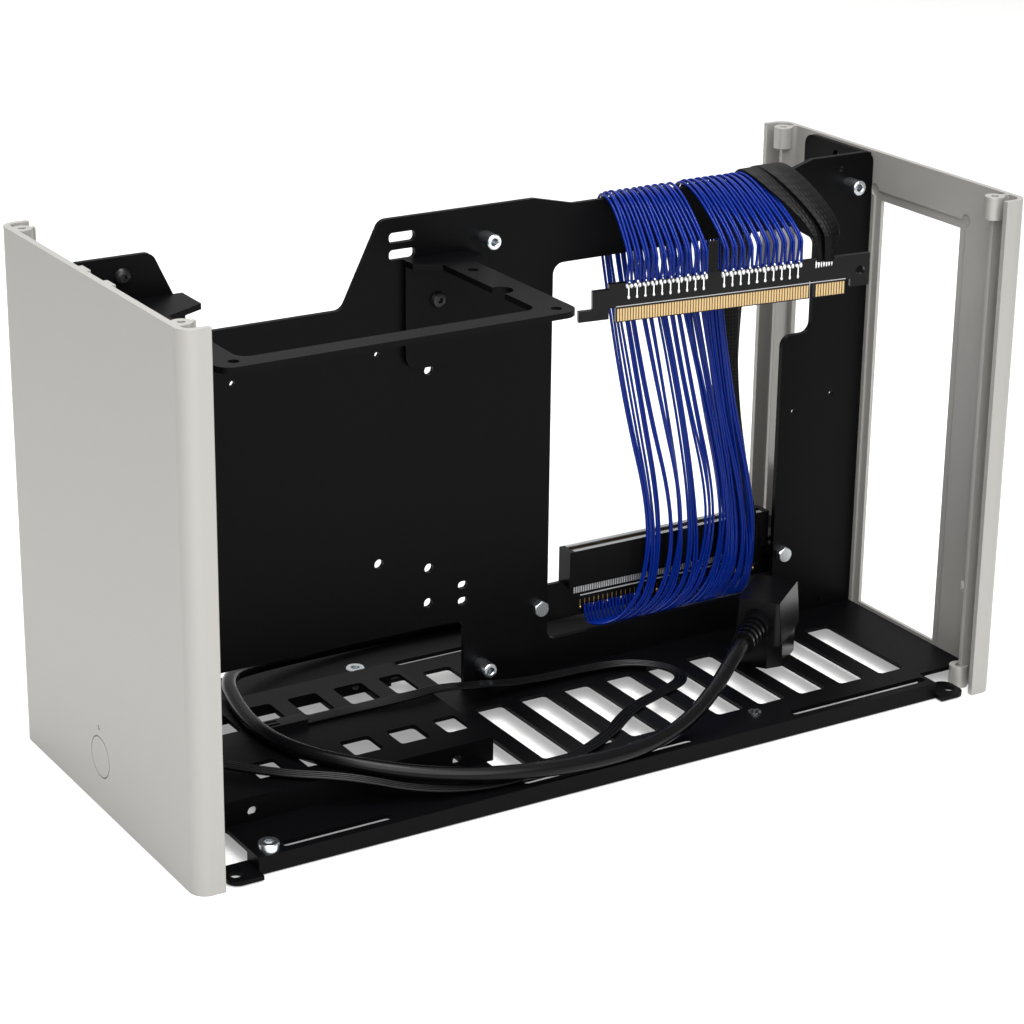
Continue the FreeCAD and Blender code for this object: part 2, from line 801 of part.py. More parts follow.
def floor_plate():
    body = new_body("floor_plate")
    outline = []
    for x, y in ((S.floor_front_half, FRONT_INNER), (S.floor_front_half, -S.floor_step),
                 (S.floor_half, -S.floor_step), (S.floor_half, S.floor_step),
                 (S.floor_rear_half, S.floor_step), (S.floor_rear_half, REAR_INNER)):
        outline.append((x, y))
    outline = outline + [(-x, y) for x, y in reversed(outline)]

    def sheet(p):
        p.polygon(outline)
        p.slot(S.slit_x, S.slit_one, S.slit_one_length, S.slit_width)
        p.slot(S.slit_x, S.slit_two, S.slit_two_length, S.slit_width)
        p.slot(S.slit_x, S.slit_three, S.slit_three_length, S.slit_width)
        p.slot(S.slit_far_x, S.slit_far, S.slit_far_length, S.slit_width)

    grow(body, "XY_Plane", FLOOR_UNDER, S.floor_sheet, sheet)
    inner = [(S.floor_front_half, -S.floor_step), (-S.floor_front_half, -S.floor_step)]
    round_edges(body, 2, inner, S.ear_corner)

    def lips(p):
        for side in (1, -1):
            out = S.floor_half * side
            p.rectangle(out - S.floor_sheet * side, out, -S.floor_step, S.floor_step)

    grow(body, "XY_Plane", S.floor_lip, S.floor_top - S.floor_lip, lips)

    def ears(p):
        for side in (1, -1):
            for end in (1, -1):
                p.rectangle(S.ear_in * side, S.ear_out * side, S.floor_step * end, S.ear_end * end)
                p.circle(S.ear_hole_x * side, S.ear_hole_y * end, S.ear_hole)

    grow(body, "XY_Plane", S.ear_bottom, S.floor_sheet, ears)
    spots = []
    for side in (1, -1):
        for end in (1, -1):
            spots.append((S.ear_out * side, S.ear_end * end))
            spots.append((S.ear_in * side, S.ear_end * end))
    round_edges(body, 2, spots, S.ear_corner)

    def steps(p):
        for side in (1, -1):
            for end in (1, -1):
                face = S.floor_step * end
                p.rectangle(S.ear_in * side, S.floor_half * side, face - S.floor_sheet * end, face)

    grow(body, "XY_Plane", S.ear_bottom, S.floor_top - S.ear_bottom, steps)

    def vents(first, near_end):
        last = first + S.vent_width

        def draw(p):
            p.rounded(S.vent_near_start, near_end, first, last, S.vent_corner)
            p.rounded(S.vent_far_start, S.vent_far_end, first, last, S.vent_corner)

        return draw

    # the vents under the drive tray stop short of its near wall
    covered = vents(S.vent_first, S.drive_near - S.vent_cover)
    cut = grow(body, "XY_Plane", S.floor_top, S.floor_sheet, covered, "Pocket")
    repeat(body, cut, S.vents_covered, VENT_PITCH)
    bare = vents(S.vent_first + VENT_PITCH * S.vents_covered, S.vent_near_end)
    cut = grow(body, "XY_Plane", S.floor_top, S.floor_sheet, bare, "Pocket")
    repeat(body, cut, S.vent_count - S.vents_covered, VENT_PITCH)


def motherboard_tray():
    body = new_body("motherboard_tray")
    front = FRONT_INNER + S.tray_front_gap
    rear = REAR_INNER - S.tray_rear_gap
    top = S.case_height
    notch = top - S.tray_notch_drop
    outline = [(front, S.tray_under), (S.tray_leg, S.tray_under), (S.tray_leg, S.floor_top),
               (rear, S.floor_top), (rear, top), (S.tray_notch_back, top),
               (S.tray_notch_end, notch), (S.tray_notch_flat, notch), (S.tray_notch_start, top),
               (S.tray_high_start, top), (S.tray_low_end, S.tray_low),
               (S.tray_low_start, S.tray_low), (S.tray_front_top_end, top), (front, top)]
    window_front = SLOT_BOLTS[0] + S.window_edge_front
    window_rear = SLOT_BOLTS[1] - S.window_edge_rear
    window_wide = window_rear + S.window_step_depth
    window = [(window_front, S.window_bottom), (window_rear, S.window_bottom),
              (window_rear, S.window_step), (window_wide, S.window_step),
              (window_wide, S.window_shoulder), (window_wide - S.window_cut_run, S.window_top),
              (window_front, S.window_top)]
    rounds = [(S.cable_one_y, S.cable_one_z, S.cable_hole),
              (S.cable_two_y, S.cable_two_z, S.cable_hole),
              (S.cable_three_y, S.cable_three_z, S.cable_hole),
              (S.tab_hole_y, S.tab_hole_z, S.tab_hole),
              (S.rivet_one_y, S.rivet_one_z, S.rivet_hole),
              (S.rivet_two_y, S.rivet_two_z, S.rivet_hole),
              (S.rivet_three_y, S.rivet_three_z, S.rivet_hole),
              (S.rivet_four_y, S.rivet_four_z, S.rivet_hole),
              (window_rear + S.rivet_five_back, S.rivet_five_z, S.rivet_hole),
              (S.rivet_six_y, S.rivet_six_z, S.rivet_hole),
              (S.front_hole_y, S.front_hole_z, S.front_hole)]
    slots = [(S.slot_high_start, S.slot_high_end, S.slot_top_low, S.slot_top_high),
             (S.slot_high_start, S.slot_high_end, S.slot_next_low, S.slot_next_high),
             (S.slit_tie_start, S.slit_tie_end, S.slit_tie_high_bottom, S.slit_tie_high_top),
             (S.slit_tie_start, S.slit_tie_end, S.slit_tie_low_bottom, S.slit_tie_low_top)]

    def sheet(p):
        p.polygon(outline)
        p.polygon(window)
        for y, z, radius in rounds:
            p.circle(y, z, radius)
        for y in SLOT_BOLTS:
            p.circle(y, S.slot_bolt_z, S.bolt_clear)
        for slot in slots:
            p.rounded(*slot, S.slot_round)

    grow(body, "YZ_Plane", TRAY_FAR, S.sheet, sheet)
    corners = [(window_front, S.window_bottom), (window_rear, S.window_bottom),
               (window_front, S.window_top), (window_rear, S.window_step),
               (window_wide, S.window_step), (window_wide, S.window_shoulder),
               (S.tray_low_end, S.tray_low), (S.tray_low_start, S.tray_low), (rear, top),
               (S.tray_high_start, top), (S.tray_front_top_end, top),
               (S.tray_leg, S.tray_under)]
    round_edges(body, 0, corners, S.tray_corner)

    def tabs(p):
        for y in tab_middles():
            half = S.tab_width / 2
            p.rectangle(TRAY_FAR - S.tab_length, TRAY_FAR + S.sheet / 2, y - half, y + half)

    grow(body, "XY_Plane", S.floor_top, S.sheet, tabs)


def tab_middles():
    """Middles of the tray's foot tabs, each on the bar between two vents."""
    return [S.foot_tab_front, S.foot_tab_middle, S.foot_tab_rear]


def psu_bracket():
    body = new_body("psu_bracket")
    at_tray = S.tray_near
    rear_flat, rear_root = at_tray + S.rear_tab_flat, at_tray + S.rear_tab_root
    outline = [(at_tray, S.rear_tab_rear), (rear_flat, S.rear_tab_rear), (rear_root, S.bracket_rear),
               (S.bracket_near, S.bracket_rear), (S.bracket_near, S.bracket_front),
               (at_tray, S.bracket_front), (at_tray, S.front_tab_rear),
               (at_tray + S.front_tab_flat, S.front_tab_rear),
               (at_tray + S.front_tab_root, S.bracket_inner_front), (S.bracket_inner_near, S.bracket_inner_front),
               (S.bracket_inner_near, S.bracket_inner_rear), (rear_root, S.bracket_inner_rear),
               (rear_flat, S.rear_tab_front), (at_tray, S.rear_tab_front)]

    def sheet(p):
        p.polygon(outline)
        for x in (S.psu_hole_near, S.psu_hole_near - S.psu_pitch_x):
            for y in (S.psu_hole_y, S.psu_hole_y + S.psu_pitch_y):
                p.circle(x, y, S.psu_hole)

    under = S.bracket_top - S.sheet
    grow(body, "XY_Plane", under, S.sheet, sheet)
    round_edges(body, 2, [(S.bracket_near, S.bracket_rear), (S.bracket_near, S.bracket_front)],
                S.bracket_outer_corner)
    round_edges(body, 2, [(S.bracket_inner_near, S.bracket_inner_front),
                          (S.bracket_inner_near, S.bracket_inner_rear)], S.bracket_inner_corner)
    grow(body, "XY_Plane", S.bracket_top, S.sheet,
         lambda p: p.circle(S.psu_notch_x, S.bracket_inner_rear + S.psu_notch_in, S.psu_notch), "Pocket")

    def tabs(p):
        p.rectangle(S.rear_tab_front, S.rear_tab_rear, S.rear_tab_bottom, S.bracket_top)
        p.rectangle(S.front_tab_front, S.front_tab_rear, S.front_tab_bottom, S.bracket_top)

    grow(body, "YZ_Plane", S.tray_near, S.sheet, tabs)
    round_edges(body, 0, [(S.rear_tab_front, S.rear_tab_bottom),
                          (S.rear_tab_rear, S.rear_tab_bottom),
                          (S.front_tab_rear, S.front_tab_bottom)], S.tab_corner)


def drive_tray():
    body = new_body("drive_tray")
    grow(body, "XY_Plane", S.drive_top - S.drive_sheet, S.drive_sheet,
         lambda p: p.rectangle(S.drive_far, S.drive_near, S.drive_front, S.drive_rear))

    def windows(p):
        p.rounded(S.drive_far_start, S.drive_far_end, S.drive_far_first,
                  S.drive_far_first + S.drive_window, S.drive_corner)
        p.rounded(S.drive_near_start, S.drive_near_end, S.drive_near_first,
                  S.drive_near_first + S.drive_window, S.drive_corner)

    cut = grow(body, "XY_Plane", S.drive_top, S.drive_sheet, windows, "Pocket")
    repeat(body, cut, S.drive_windows, S.drive_pitch)

    def last(p):
        step = S.drive_pitch * S.drive_windows
        for left, right, first in ((S.drive_far_start, S.drive_far_end, S.drive_far_first),
                                   (S.drive_near_start, S.drive_near_end, S.drive_near_first)):
            p.rounded(left, right, first + step, first + step + S.drive_last, S.drive_corner)

    grow(body, "XY_Plane", S.drive_top, S.drive_sheet, last, "Pocket")

    def flanges(p):
        p.rectangle(S.drive_near - S.drive_sheet, S.drive_near, S.drive_front, S.drive_rear)
        p.rectangle(S.drive_far, S.drive_far + S.drive_sheet, S.drive_front, S.drive_rear)

    grow(body, "XY_Plane", S.floor_top, S.drive_top - S.floor_top, flanges)

    def holes(p):
        for y in (S.drive_hole_y, S.drive_hole_y + S.drive_hole_pitch):
            p.circle(y, S.drive_hole_z, S.drive_hole)

    grow(body, "YZ_Plane", S.drive_near, S.drive_near - S.drive_far, holes, "Pocket")


def rear_tie_plate():
    body = new_body("rear_tie_plate")

    def sheet(p):
        p.rectangle(S.tie_left, TRAY_FAR, S.tie_bottom, S.tie_top)
        p.circle(S.tie_hole_x, S.tie_hole_z, S.bolt_clear)

    grow(body, "XZ_Plane", -REAR_INNER, S.sheet, sheet)
    round_edges(body, 1, [(S.tie_left, S.tie_bottom), (S.tie_left, S.tie_top)], S.tie_corner)


def place(x, y, z, direction):
    """Placement that turns +Z of a master toward a direction."""
    spot = Vector(dim(x).value, dim(y).value, dim(z).value)
    return FreeCAD.Placement(spot, FreeCAD.Rotation(Vector(0, 0, 1), Vector(*direction)))


def standoff_master():
    bore = S.standoff_bore.value
    outer, height = S.standoff_radius.value, S.standoff_height.value
    base, broken = S.standoff_base.value, S.edge_break.value
    return turned([(0.0, 0.0), (outer, 0.0), (outer, height - broken), (outer - broken, height),
                   (bore + broken, height), (bore, height - broken), (bore, base), (0.0, base)])


def turned(points):
    """A solid turned about Z from a half section of radius and height pairs."""
    spots = [Vector(r, 0, z) for r, z in points]
    face = Part.Face(Part.makePolygon(spots + spots[:1]))
    return face.revolve(Vector(0, 0, 0), Vector(0, 0, 1), 360)


def prism(sides, inscribed, low, high):
    """A regular prism on Z, given the radius to its flats."""
    reach = inscribed / math.cos(math.pi / sides)
    spots = [Vector(reach * math.cos(2 * math.pi * k / sides),
                    reach * math.sin(2 * math.pi * k / sides), low) for k in range(sides)]
    return Part.Face(Part.makePolygon(spots + spots[:1])).extrude(Vector(0, 0, high - low))


def cap_screw():
    radius, height, broken = S.cap_radius.value, S.cap_height.value, S.edge_break.value
    head = turned([(0, 0), (radius, 0), (radius, height - broken), (radius - broken, height),
                   (0, height)])
    return head.cut(prism(6, S.cap_socket.value, height - S.cap_socket_depth.value, height + 1))


def button_screw():
    radius, height = S.button_head_radius.value, S.button_head_height.value
    head = turned([(0, 0), (radius, 0), (radius, height * 0.25), (radius * 0.8, height * 0.8),
                   (radius * 0.5, height), (0, height)])
    return head.cut(prism(6, S.cap_socket.value * 0.7, height * 0.4, height + 1))


def hex_bolt():
    """Hex head on the near face of the tray with its shank through spacer and board."""
    height = S.hex_height.value
    head = prism(6, S.hex_flats.value / 2, 0, height)
    dome = turned([(0, 0), (S.hex_flats.value * 0.58, 0), (S.hex_flats.value * 0.58, height * 0.75),
                   (S.hex_flats.value * 0.48, height), (0, height)])
    reach = S.tray_near - (S.slot_mid - S.pcb_sheet / 2) + 3
    shank = Part.makeCylinder(S.bolt_radius.value, reach.value, Vector(0, 0, -reach.value))
    return head.common(dome).fuse(shank).removeSplitter()


def fasteners():
    front, top = S.board_hole_front, S.board_hole_top
    low = S.board_hole_low
    near = (1, 0, 0)
    spots = [place(S.tray_near, y, z, near) for y, z in (
        (front, top), (front + S.board_hole_long, top), (front, low),
        (front + S.board_hole_short, low))]
    copies("board_standoffs", standoff_master(), spots)
    up = (0, 0, 1)
    copies("floor_screws", cap_screw(), [
        place(S.floor_screw_x, S.floor_screw_y, S.floor_top, up),
        place(S.floor_screw_far_x, S.floor_screw_far_y, S.floor_top, up)])
    foot = S.floor_top + S.sheet
    middle = TRAY_FAR - S.tab_length * 0.55
    copies("tray_screws", button_screw(), [place(middle, y, foot, up) for y in tab_middles()])
    tab_face = S.tray_near + S.sheet
    copies("bracket_screws", button_screw(), [
        place(tab_face, S.bracket_screw_rear, S.bracket_screw_rear_z, near),
        place(tab_face, S.bracket_screw_front, S.bracket_screw_front_z, near),
        place(S.tray_near, S.front_hole_y, S.front_hole_z, near)])
    tie_face = REAR_INNER - S.sheet
    copies("tie_screws", button_screw(), [
        place(x, tie_face, S.tie_screw_z, (0, -1, 0))
        for x in (S.tie_screw_far, TRAY_FAR - S.tie_screw_inset)])
    ring = turned([(S.insert_bore.value, 0), (S.insert_radius.value, 0),
                   (S.insert_radius.value, S.insert_height.value),
                   (S.insert_bore.value, S.insert_height.value)])
    copies("floor_inserts", ring, [place(S.insert_x, y, S.floor_top, up)
                                   for y in (S.insert_front, S.insert_rear)])
    copies("riser_bolts", hex_bolt(), [place(S.tray_near, y, S.slot_bolt_z, near) for y in SLOT_BOLTS])
    gap = TRAY_FAR - (S.slot_mid + S.pcb_sheet / 2)
    clear, outer = S.bolt_clear.value, S.spacer_radius.value
    tube = turned([(clear, 0), (outer, 0), (outer, gap.value), (clear, gap.value)])
    copies("riser_spacers", tube, [place(TRAY_FAR - gap, y, S.slot_bolt_z, near) for y in SLOT_BOLTS])
    back = S.slot_mid - S.pcb_sheet / 2
    nut = prism(6, S.hex_flats.value / 2, 0, S.hex_height.value)
    nut = nut.cut(Part.makeCylinder(S.bolt_clear.value, S.hex_height.value))
    copies("riser_nuts", nut, [place(back, y, S.slot_bolt_z, (-1, 0, 0)) for y in SLOT_BOLTS])


def riser_slot_side():
    board = new_body("riser_slot_board")

    def sheet(p):
        p.rectangle(SLOT_BOLTS[0] - S.slot_board_margin, SLOT_BOLTS[1] + S.slot_board_margin,
                    S.slot_board_bottom, S.slot_board_top)
        for y in SLOT_BOLTS:
            p.circle(y, S.slot_bolt_z, S.bolt_clear)

    grow(board, "YZ_Plane", S.slot_mid - S.pcb_sheet / 2, S.pcb_sheet, sheet)
    slot = new_body("riser_slot")
    rear = S.slot_front + S.slot_length
    near, far = S.slot_mid + S.slot_width / 2, S.slot_mid - S.slot_width / 2
    grow(slot, "XY_Plane", S.slot_bottom, S.slot_top - S.slot_bottom,
         lambda p: p.rectangle(far, near, S.slot_front, rear))
    half = S.slot_groove / 2
    long_start = S.slot_front + S.slot_end
    key = long_start + S.finger_short + S.key_clear

    def grooves(p):
        p.rectangle(S.slot_mid - half, S.slot_mid + half, long_start, key)
        p.rectangle(S.slot_mid - half, S.slot_mid + half, key + S.key_wall,
                    rear - S.slot_end)

    grow(slot, "XY_Plane", S.slot_top, S.slot_groove_depth, grooves, "Pocket")
    saddle = S.pcb_sheet / 2
    grow(slot, "XY_Plane", S.slot_bottom, S.slot_board_top - S.slot_bottom,
         lambda p: p.rectangle(S.slot_mid - saddle, S.slot_mid + saddle, S.slot_front, rear),
         "Pocket", True)


def plug_placement():
    """Placement of the card-edge board: along its length, across it and up."""
    yaw = FreeCAD.Rotation(Vector(0, 0, 1), S.plug_yaw.value)
    rise = FreeCAD.Rotation(Vector(1, 0, 0), S.plug_rise.value)
    lean = FreeCAD.Rotation(Vector(0, 1, 0), -S.plug_lean.value)
    spot = Vector(S.plug_x.value, S.plug_y.value, S.plug_z.value)
    return FreeCAD.Placement(spot, yaw.multiply(rise).multiply(lean))


def riser_plug_side():
    board = new_body("riser_plug_board")
    key = S.finger_long
    short = key + S.finger_key
    end = short + S.finger_short
    down = -S.finger_height
    outline = [(S.plug_ear_front, S.plug_ear_bottom), (S.plug_ear_in, S.plug_ear_bottom),
               (S.plug_ear_in, 0.0), (0.0, 0.0), (0.0, down), (key, down), (key, S.plug_key_rise),
               (short, S.plug_key_rise), (short, down), (end, down), (end, 0.0), (S.plug_plate_start, 0.0),
               (S.plug_plate_start, S.plug_plate_bottom),
               (S.plug_plate_end, S.plug_plate_bottom), (S.plug_plate_end, S.plug_board_rise),
               (S.plug_ear_in, S.plug_board_rise), (S.plug_ear_in, S.plug_ear_top),
               (S.plug_ear_step, S.plug_ear_top), (S.plug_ear_step, 0.0), (S.plug_ear_front, 0.0)]

    def sheet(p):
        p.polygon(outline)
        p.circle(S.plug_plate_hole, S.plug_plate_hole_rise, S.bolt_clear)

    grow(board, "YZ_Plane", -(S.pcb_sheet / 2), S.pcb_sheet, sheet)
    board.Placement = plug_placement()


def tangent_edges(points):
    """Straight runs joined by tangent arcs; returns the edges and the radii."""
    edges, radii = [], []
    start = points[0]
    for before, corner, after in zip(points, points[1:], points[2:]):
        back, ahead = before - corner, after - corner
        turn = math.pi - back.getAngle(ahead)
        trim = 0.45 * min(back.Length, ahead.Length)
        first = corner + back.normalize() * trim
        last = corner + ahead.normalize() * trim
        radius = trim / math.tan(turn / 2)
        inward = (first + last) * 0.5 - corner
        rise = radius / math.cos(turn / 2) - radius
        middle = corner + inward.normalize() * rise
        edges.append(Part.LineSegment(start, first).toShape())
        edges.append(Part.Arc(first, middle, last).toShape())
        radii.append(radius)
        start = last
    edges.append(Part.LineSegment(start, points[-1]).toShape())
    return edges, radii


def ribbon(name, stations, half_thick):
    """A flat ribbon: ruled faces between four corner curves along its stations."""
    rows = [[], [], [], []]
    middles = [spot for spot, _ in stations]
    for index, (spot, across) in enumerate(stations):
        before = middles[max(index - 1, 0)]
        after = middles[min(index + 1, len(middles) - 1)]
        thick = (after - before).cross(across).normalize() * half_thick
        for row, (wide, deep) in zip(rows, ((1, 1), (-1, 1), (-1, -1), (1, -1))):
            row.append(spot + across * wide + thick * deep)
    curves = [tangent_edges(row)[0] for row in rows]
    faces = []
    for one, two in zip(curves, curves[1:] + curves[:1]):
        for first, second in zip(one, two):
            faces.append(Part.makeRuledSurface(first, second))
    for index in (0, -1):
        corners = [row[index] for row in rows]
        faces.append(Part.makeFilledFace(Part.makePolygon(corners + corners[:1]).Edges))
    shell = Part.makeShell(faces)
    shell.sewShape()
    solid = Part.makeSolid(shell)
    if solid.Volume < 0:
        solid.reverse()
    radii = tangent_edges(middles)[1]
    print(name, "bend radii", [round(r, 1) for r in radii])
    return solid_node(name, solid)


def tube(name, points, radius):
    """A round lead swept along straight runs and tangent arcs."""
    edges, radii = tangent_edges(points)
    path = Part.Wire(edges)
    ring = Part.makeCircle(radius, points[0], points[1] - points[0])
    solid = path.makePipeShell([Part.Wire(ring)], True, False)
    expected = math.pi * radius * radius * path.Length
    print(name, "length", round(path.Length, 1), "bend radii", [round(r, 1) for r in radii],
          "volume ratio", round(solid.Volume / expected, 4))
    return solid_node(name, solid)


def riser_wires():
    """Two groups of wires and the woven ribbon, as plain bands on their route."""
    board = plug_placement()
    far, rear = TRAY_FAR.value, REAR.value
    notch = S.case_height.value - S.tray_notch_drop.value
    layer, clear = S.wire_layer.value, S.wire_clear.value
    heights = {"over": notch + layer / 2 + 4 * clear, "high": S.wire_high.value,
               "middle": S.wire_middle.value, "lower": S.wire_lower.value,
               "bend": S.wire_bend.value, "loop": S.wire_loop.value,
               "under": S.wire_under.value, "foot": S.wire_foot.value}
    heights["behind"] = heights["over"]
    foot = S.slot_mid.value + S.pcb_sheet.value / 2 + layer / 2 + clear
    depths = {stop: far - behind for stop, behind in WIRE_DEPTHS.items()}
    depths["foot"] = foot
    for name, start, end in (("riser_wires_front", S.wire_front_start, S.wire_front_end),
                             ("riser_wires_rear", S.wire_rear_start, S.wire_rear_end)):
        band(name, board, start.value, end.value, layer, depths, heights, rear)
    thick = S.ribbon_thick.value
    heights.update(over=heights["over"] + layer / 2 + thick / 2 + 3 * clear,
                   bend=S.ribbon_bend.value, foot=S.ribbon_foot.value)
    heights["behind"] = heights["over"]
    depths.update({stop: far - behind for stop, behind in RIBBON_DEPTHS.items()})
    band("riser_ribbon", board, S.ribbon_start.value, S.ribbon_end.value, thick, depths, heights,
         rear)


def band(name, board, start, end, thick, depths, heights, rear):
    """One flat band from the card-edge board through its stops to the slot board."""
    surface = S.pcb_sheet.value / 2 + S.wire_layer.value / 2 + S.wire_clear.value
    along, reach = (start + end) / 2, (end - start) / 2
    side = board.Rotation.multVec(Vector(0, reach, 0))
    stations = [(board.multVec(Vector(surface, along, rise.value)), side)
                for rise in (S.wire_root, S.wire_tip)]
    for stop, (gap, half) in WIRE_STOPS[name].items():
        spot = Vector(depths[stop], rear - gap, heights[stop])
        stations.append((spot, Vector(0, half, 0)))
    ribbon(name, stations, thick / 2)


def mains_plug():
    body = new_body("ac_plug")
    nose_top = S.floor_top + S.plug_nose_height
    half, wide = S.plug_nose_length / 2, S.plug_nose_width / 2
    cut = S.plug_nose_cut
    nose = [(-wide, -half), (wide - cut, -half), (wide, -half + cut), (wide, half - cut),
            (wide - cut, half), (-wide, half)]
    grow(body, "XY_Plane", S.floor_top, S.plug_nose_height, lambda p: p.polygon(nose))
    long_half, side_half = S.plug_block_length / 2, S.plug_block_width / 2
    block = grow(body, "XY_Plane", nose_top, S.plug_block_height,
                 lambda p: p.rounded(-side_half, side_half, -long_half, long_half,
                                     S.plug_block_corner))
    block.setExpression("TaperAngle", f"-1 * {S.plug_block_taper.text}")
    DOC.recompute()
    grow(body, "XZ_Plane", long_half, S.collar_depth,
         lambda p: p.circle(0, S.floor_top + S.plug_exit, S.collar_radius), "Pad", True)

    def slots(p):
        across, along = S.pin_slot_length / 2, S.pin_slot_width / 2
        for x, y in ((S.pin_back, dim(0)), (-S.pin_back, S.pin_out), (-S.pin_back, -S.pin_out)):
            p.rectangle(x - across, x + across, y - along, y + along)

    grow(body, "XY_Plane", S.floor_top, S.plug_nose_height, slots, "Pocket", True)
    yaw = FreeCAD.Rotation(Vector(0, 0, 1), S.plug_block_yaw.value)
    body.Placement = FreeCAD.Placement(Vector(S.plug_block_x.value, S.plug_block_y.value, 0), yaw)
    return body.Placement


def relief_section(length, root, tip, ribs, rib):
    """Half section of a ribbed strain relief that narrows toward the lead."""
    points = [(0.0, 0.0), (root, 0.0), (root, length * 0.25)]
    step = length * 0.75 / (2 * ribs)
    for k in range(2 * ribs):
        low = length * 0.25 + step * k
        outer = root + (tip - root) * (low / length)
        radius = outer if k % 2 else outer - rib
        points += [(radius, low), (radius, low + step)]
    return points + [(0.0, length)]


def mains_lead(plug):
    """Inlet in the rear panel, lead along the floor, strain reliefs and right-angle plug."""
    inlet = new_body("ac_inlet")
    x, z = S.inlet_x, S.inlet_z
    flange_x, flange_z = S.inlet_flange_width / 2, S.inlet_flange_height / 2
    grow(inlet, "XZ_Plane", -REAR_INNER, S.inlet_flange,
         lambda p: p.rectangle(x - flange_x, x + flange_x, z - flange_z, z + flange_z))
    body_x = S.inlet_cut_width / 2 - S.inlet_clear
    body_z = S.inlet_cut_height / 2 - S.inlet_clear
    inner = REAR_INNER - S.inlet_depth
    grow(inlet, "XZ_Plane", -REAR, S.inlet_depth + S.rear_wall,
         lambda p: p.rectangle(x - body_x, x + body_x, z - body_z, z + body_z))
    sock_x, sock_z = S.inlet_socket_width / 2, S.inlet_socket_height / 2
    cut = S.plug_nose_cut
    socket = [(x - sock_x, z - sock_z), (x + sock_x, z - sock_z), (x + sock_x, z + sock_z - cut),
              (x + sock_x - cut, z + sock_z), (x - sock_x + cut, z + sock_z),
              (x - sock_x, z + sock_z - cut)]
    grow(inlet, "XZ_Plane", -REAR, S.inlet_socket_depth, lambda p: p.polygon(socket), "Pocket", True)

    def pins(p):
        thick, wide = S.pin_thick / 2, S.pin_width / 2
        for dx, dz in ((dim(0), S.pin_back), (S.pin_out, -S.pin_back), (-S.pin_out, -S.pin_back)):
            p.rectangle(x + dx - thick, x + dx + thick, z + dz - wide, z + dz + wide)

    floor = REAR - S.inlet_socket_depth
    grow(inlet, "XZ_Plane", -floor, S.inlet_pin_height, pins, "Pad", True)

    length, root, tip = S.relief_length.value, S.relief_root.value, S.relief_tip.value
    ribs, rib = int(S.relief_ribs.value), S.relief_rib.value
    section = relief_section(length, root, tip, ribs, rib)
    boot = turned(section)
    exit_face = plug.multVec(Vector(0, -S.plug_block_length.value / 2, 0))
    away = plug.Rotation.multVec(Vector(0, -1, 0))
    exit_z = S.floor_top.value + S.plug_exit.value
    root_spot = Vector(exit_face.x, exit_face.y, exit_z)
    inlet_root = Vector(x.value, inner.value, z.value)
    copies("strain_reliefs", boot, [
        FreeCAD.Placement(root_spot, FreeCAD.Rotation(Vector(0, 0, 1), away)),
        FreeCAD.Placement(inlet_root, FreeCAD.Rotation(Vector(0, 0, 1), Vector(0, -1, 0)))])
    radius = S.lead_radius.value
    rest = S.floor_top.value + radius + S.wire_clear.value
    start = inlet_root + Vector(0, -length, 0)
    finish = root_spot + away * length
    straight = S.lead_straight.value
    dropped = Vector(S.lead_drop_side.value, S.lead_drop_run.value, S.lead_drop.value)
    route = [start, start + Vector(0, -straight, 0), start - dropped]
    route += [on_floor(stop, rest) for stop in LEAD_STOPS]
    route += [finish + away * straight, finish]
    tube("ac_lead", route, radius)


def on_floor(stop, height):
    """A lead's stop, moved with the case's width and length."""
    across, along, rise = stop
    return Vector(across * HALF.value / DRAWN_HALF, along * REAR.value / DRAWN_REAR, height + rise)


def power_button():
    button = new_body("power_button")
    x, z = S.button_x, S.button_z
    behind = FRONT_INNER + S.button_gap
    grow(button, "XZ_Plane", -FRONT, behind - FRONT,
         lambda p: p.circle(x, z, S.button_radius), "Pad", True)
    flange_end = behind + S.button_flange_thick
    grow(button, "XZ_Plane", -behind, S.button_flange_thick,
         lambda p: p.circle(x, z, S.button_flange), "Pad", True)
    grow(button, "XZ_Plane", -flange_end, S.button_stem_length,
         lambda p: p.circle(x, z, S.button_stem), "Pad", True)

    housing = new_body("button_housing")
    half = S.housing_width / 2
    back = FRONT_INNER + S.housing_depth

    def block(p):
        p.rectangle(x - half, x + half, S.housing_bottom, S.housing_top)
        p.circle(x, z, S.housing_bore)
        p.circle(S.led_x, S.led_z, S.led_radius + S.led_gap)

    grow(housing, "XZ_Plane", -FRONT_INNER, S.housing_depth, block, "Pad", True)

    board = new_body("switch_board")
    grow(board, "XZ_Plane", -back, S.pcb_sheet,
         lambda p: p.rectangle(x - half + S.switch_board_inset, x + half - S.switch_board_inset,
                               S.housing_bottom + S.switch_board_inset,
                               S.housing_top - S.switch_board_inset), "Pad", True)
    switch = new_body("tact_switch")
    side = S.switch_body / 2
    grow(switch, "XZ_Plane", -back, S.switch_height,
         lambda p: p.rectangle(x - side, x + side, z - side, z + side))
    grow(switch, "XZ_Plane", -(back - S.switch_height), S.switch_plunger_length,
         lambda p: p.circle(x, z, S.switch_plunger))
    led = new_body("led_pipe")
    grow(led, "XZ_Plane", -FRONT, back - FRONT,
         lambda p: p.circle(S.led_x, S.led_z, S.led_radius), "Pad", True)
    return back + S.pcb_sheet


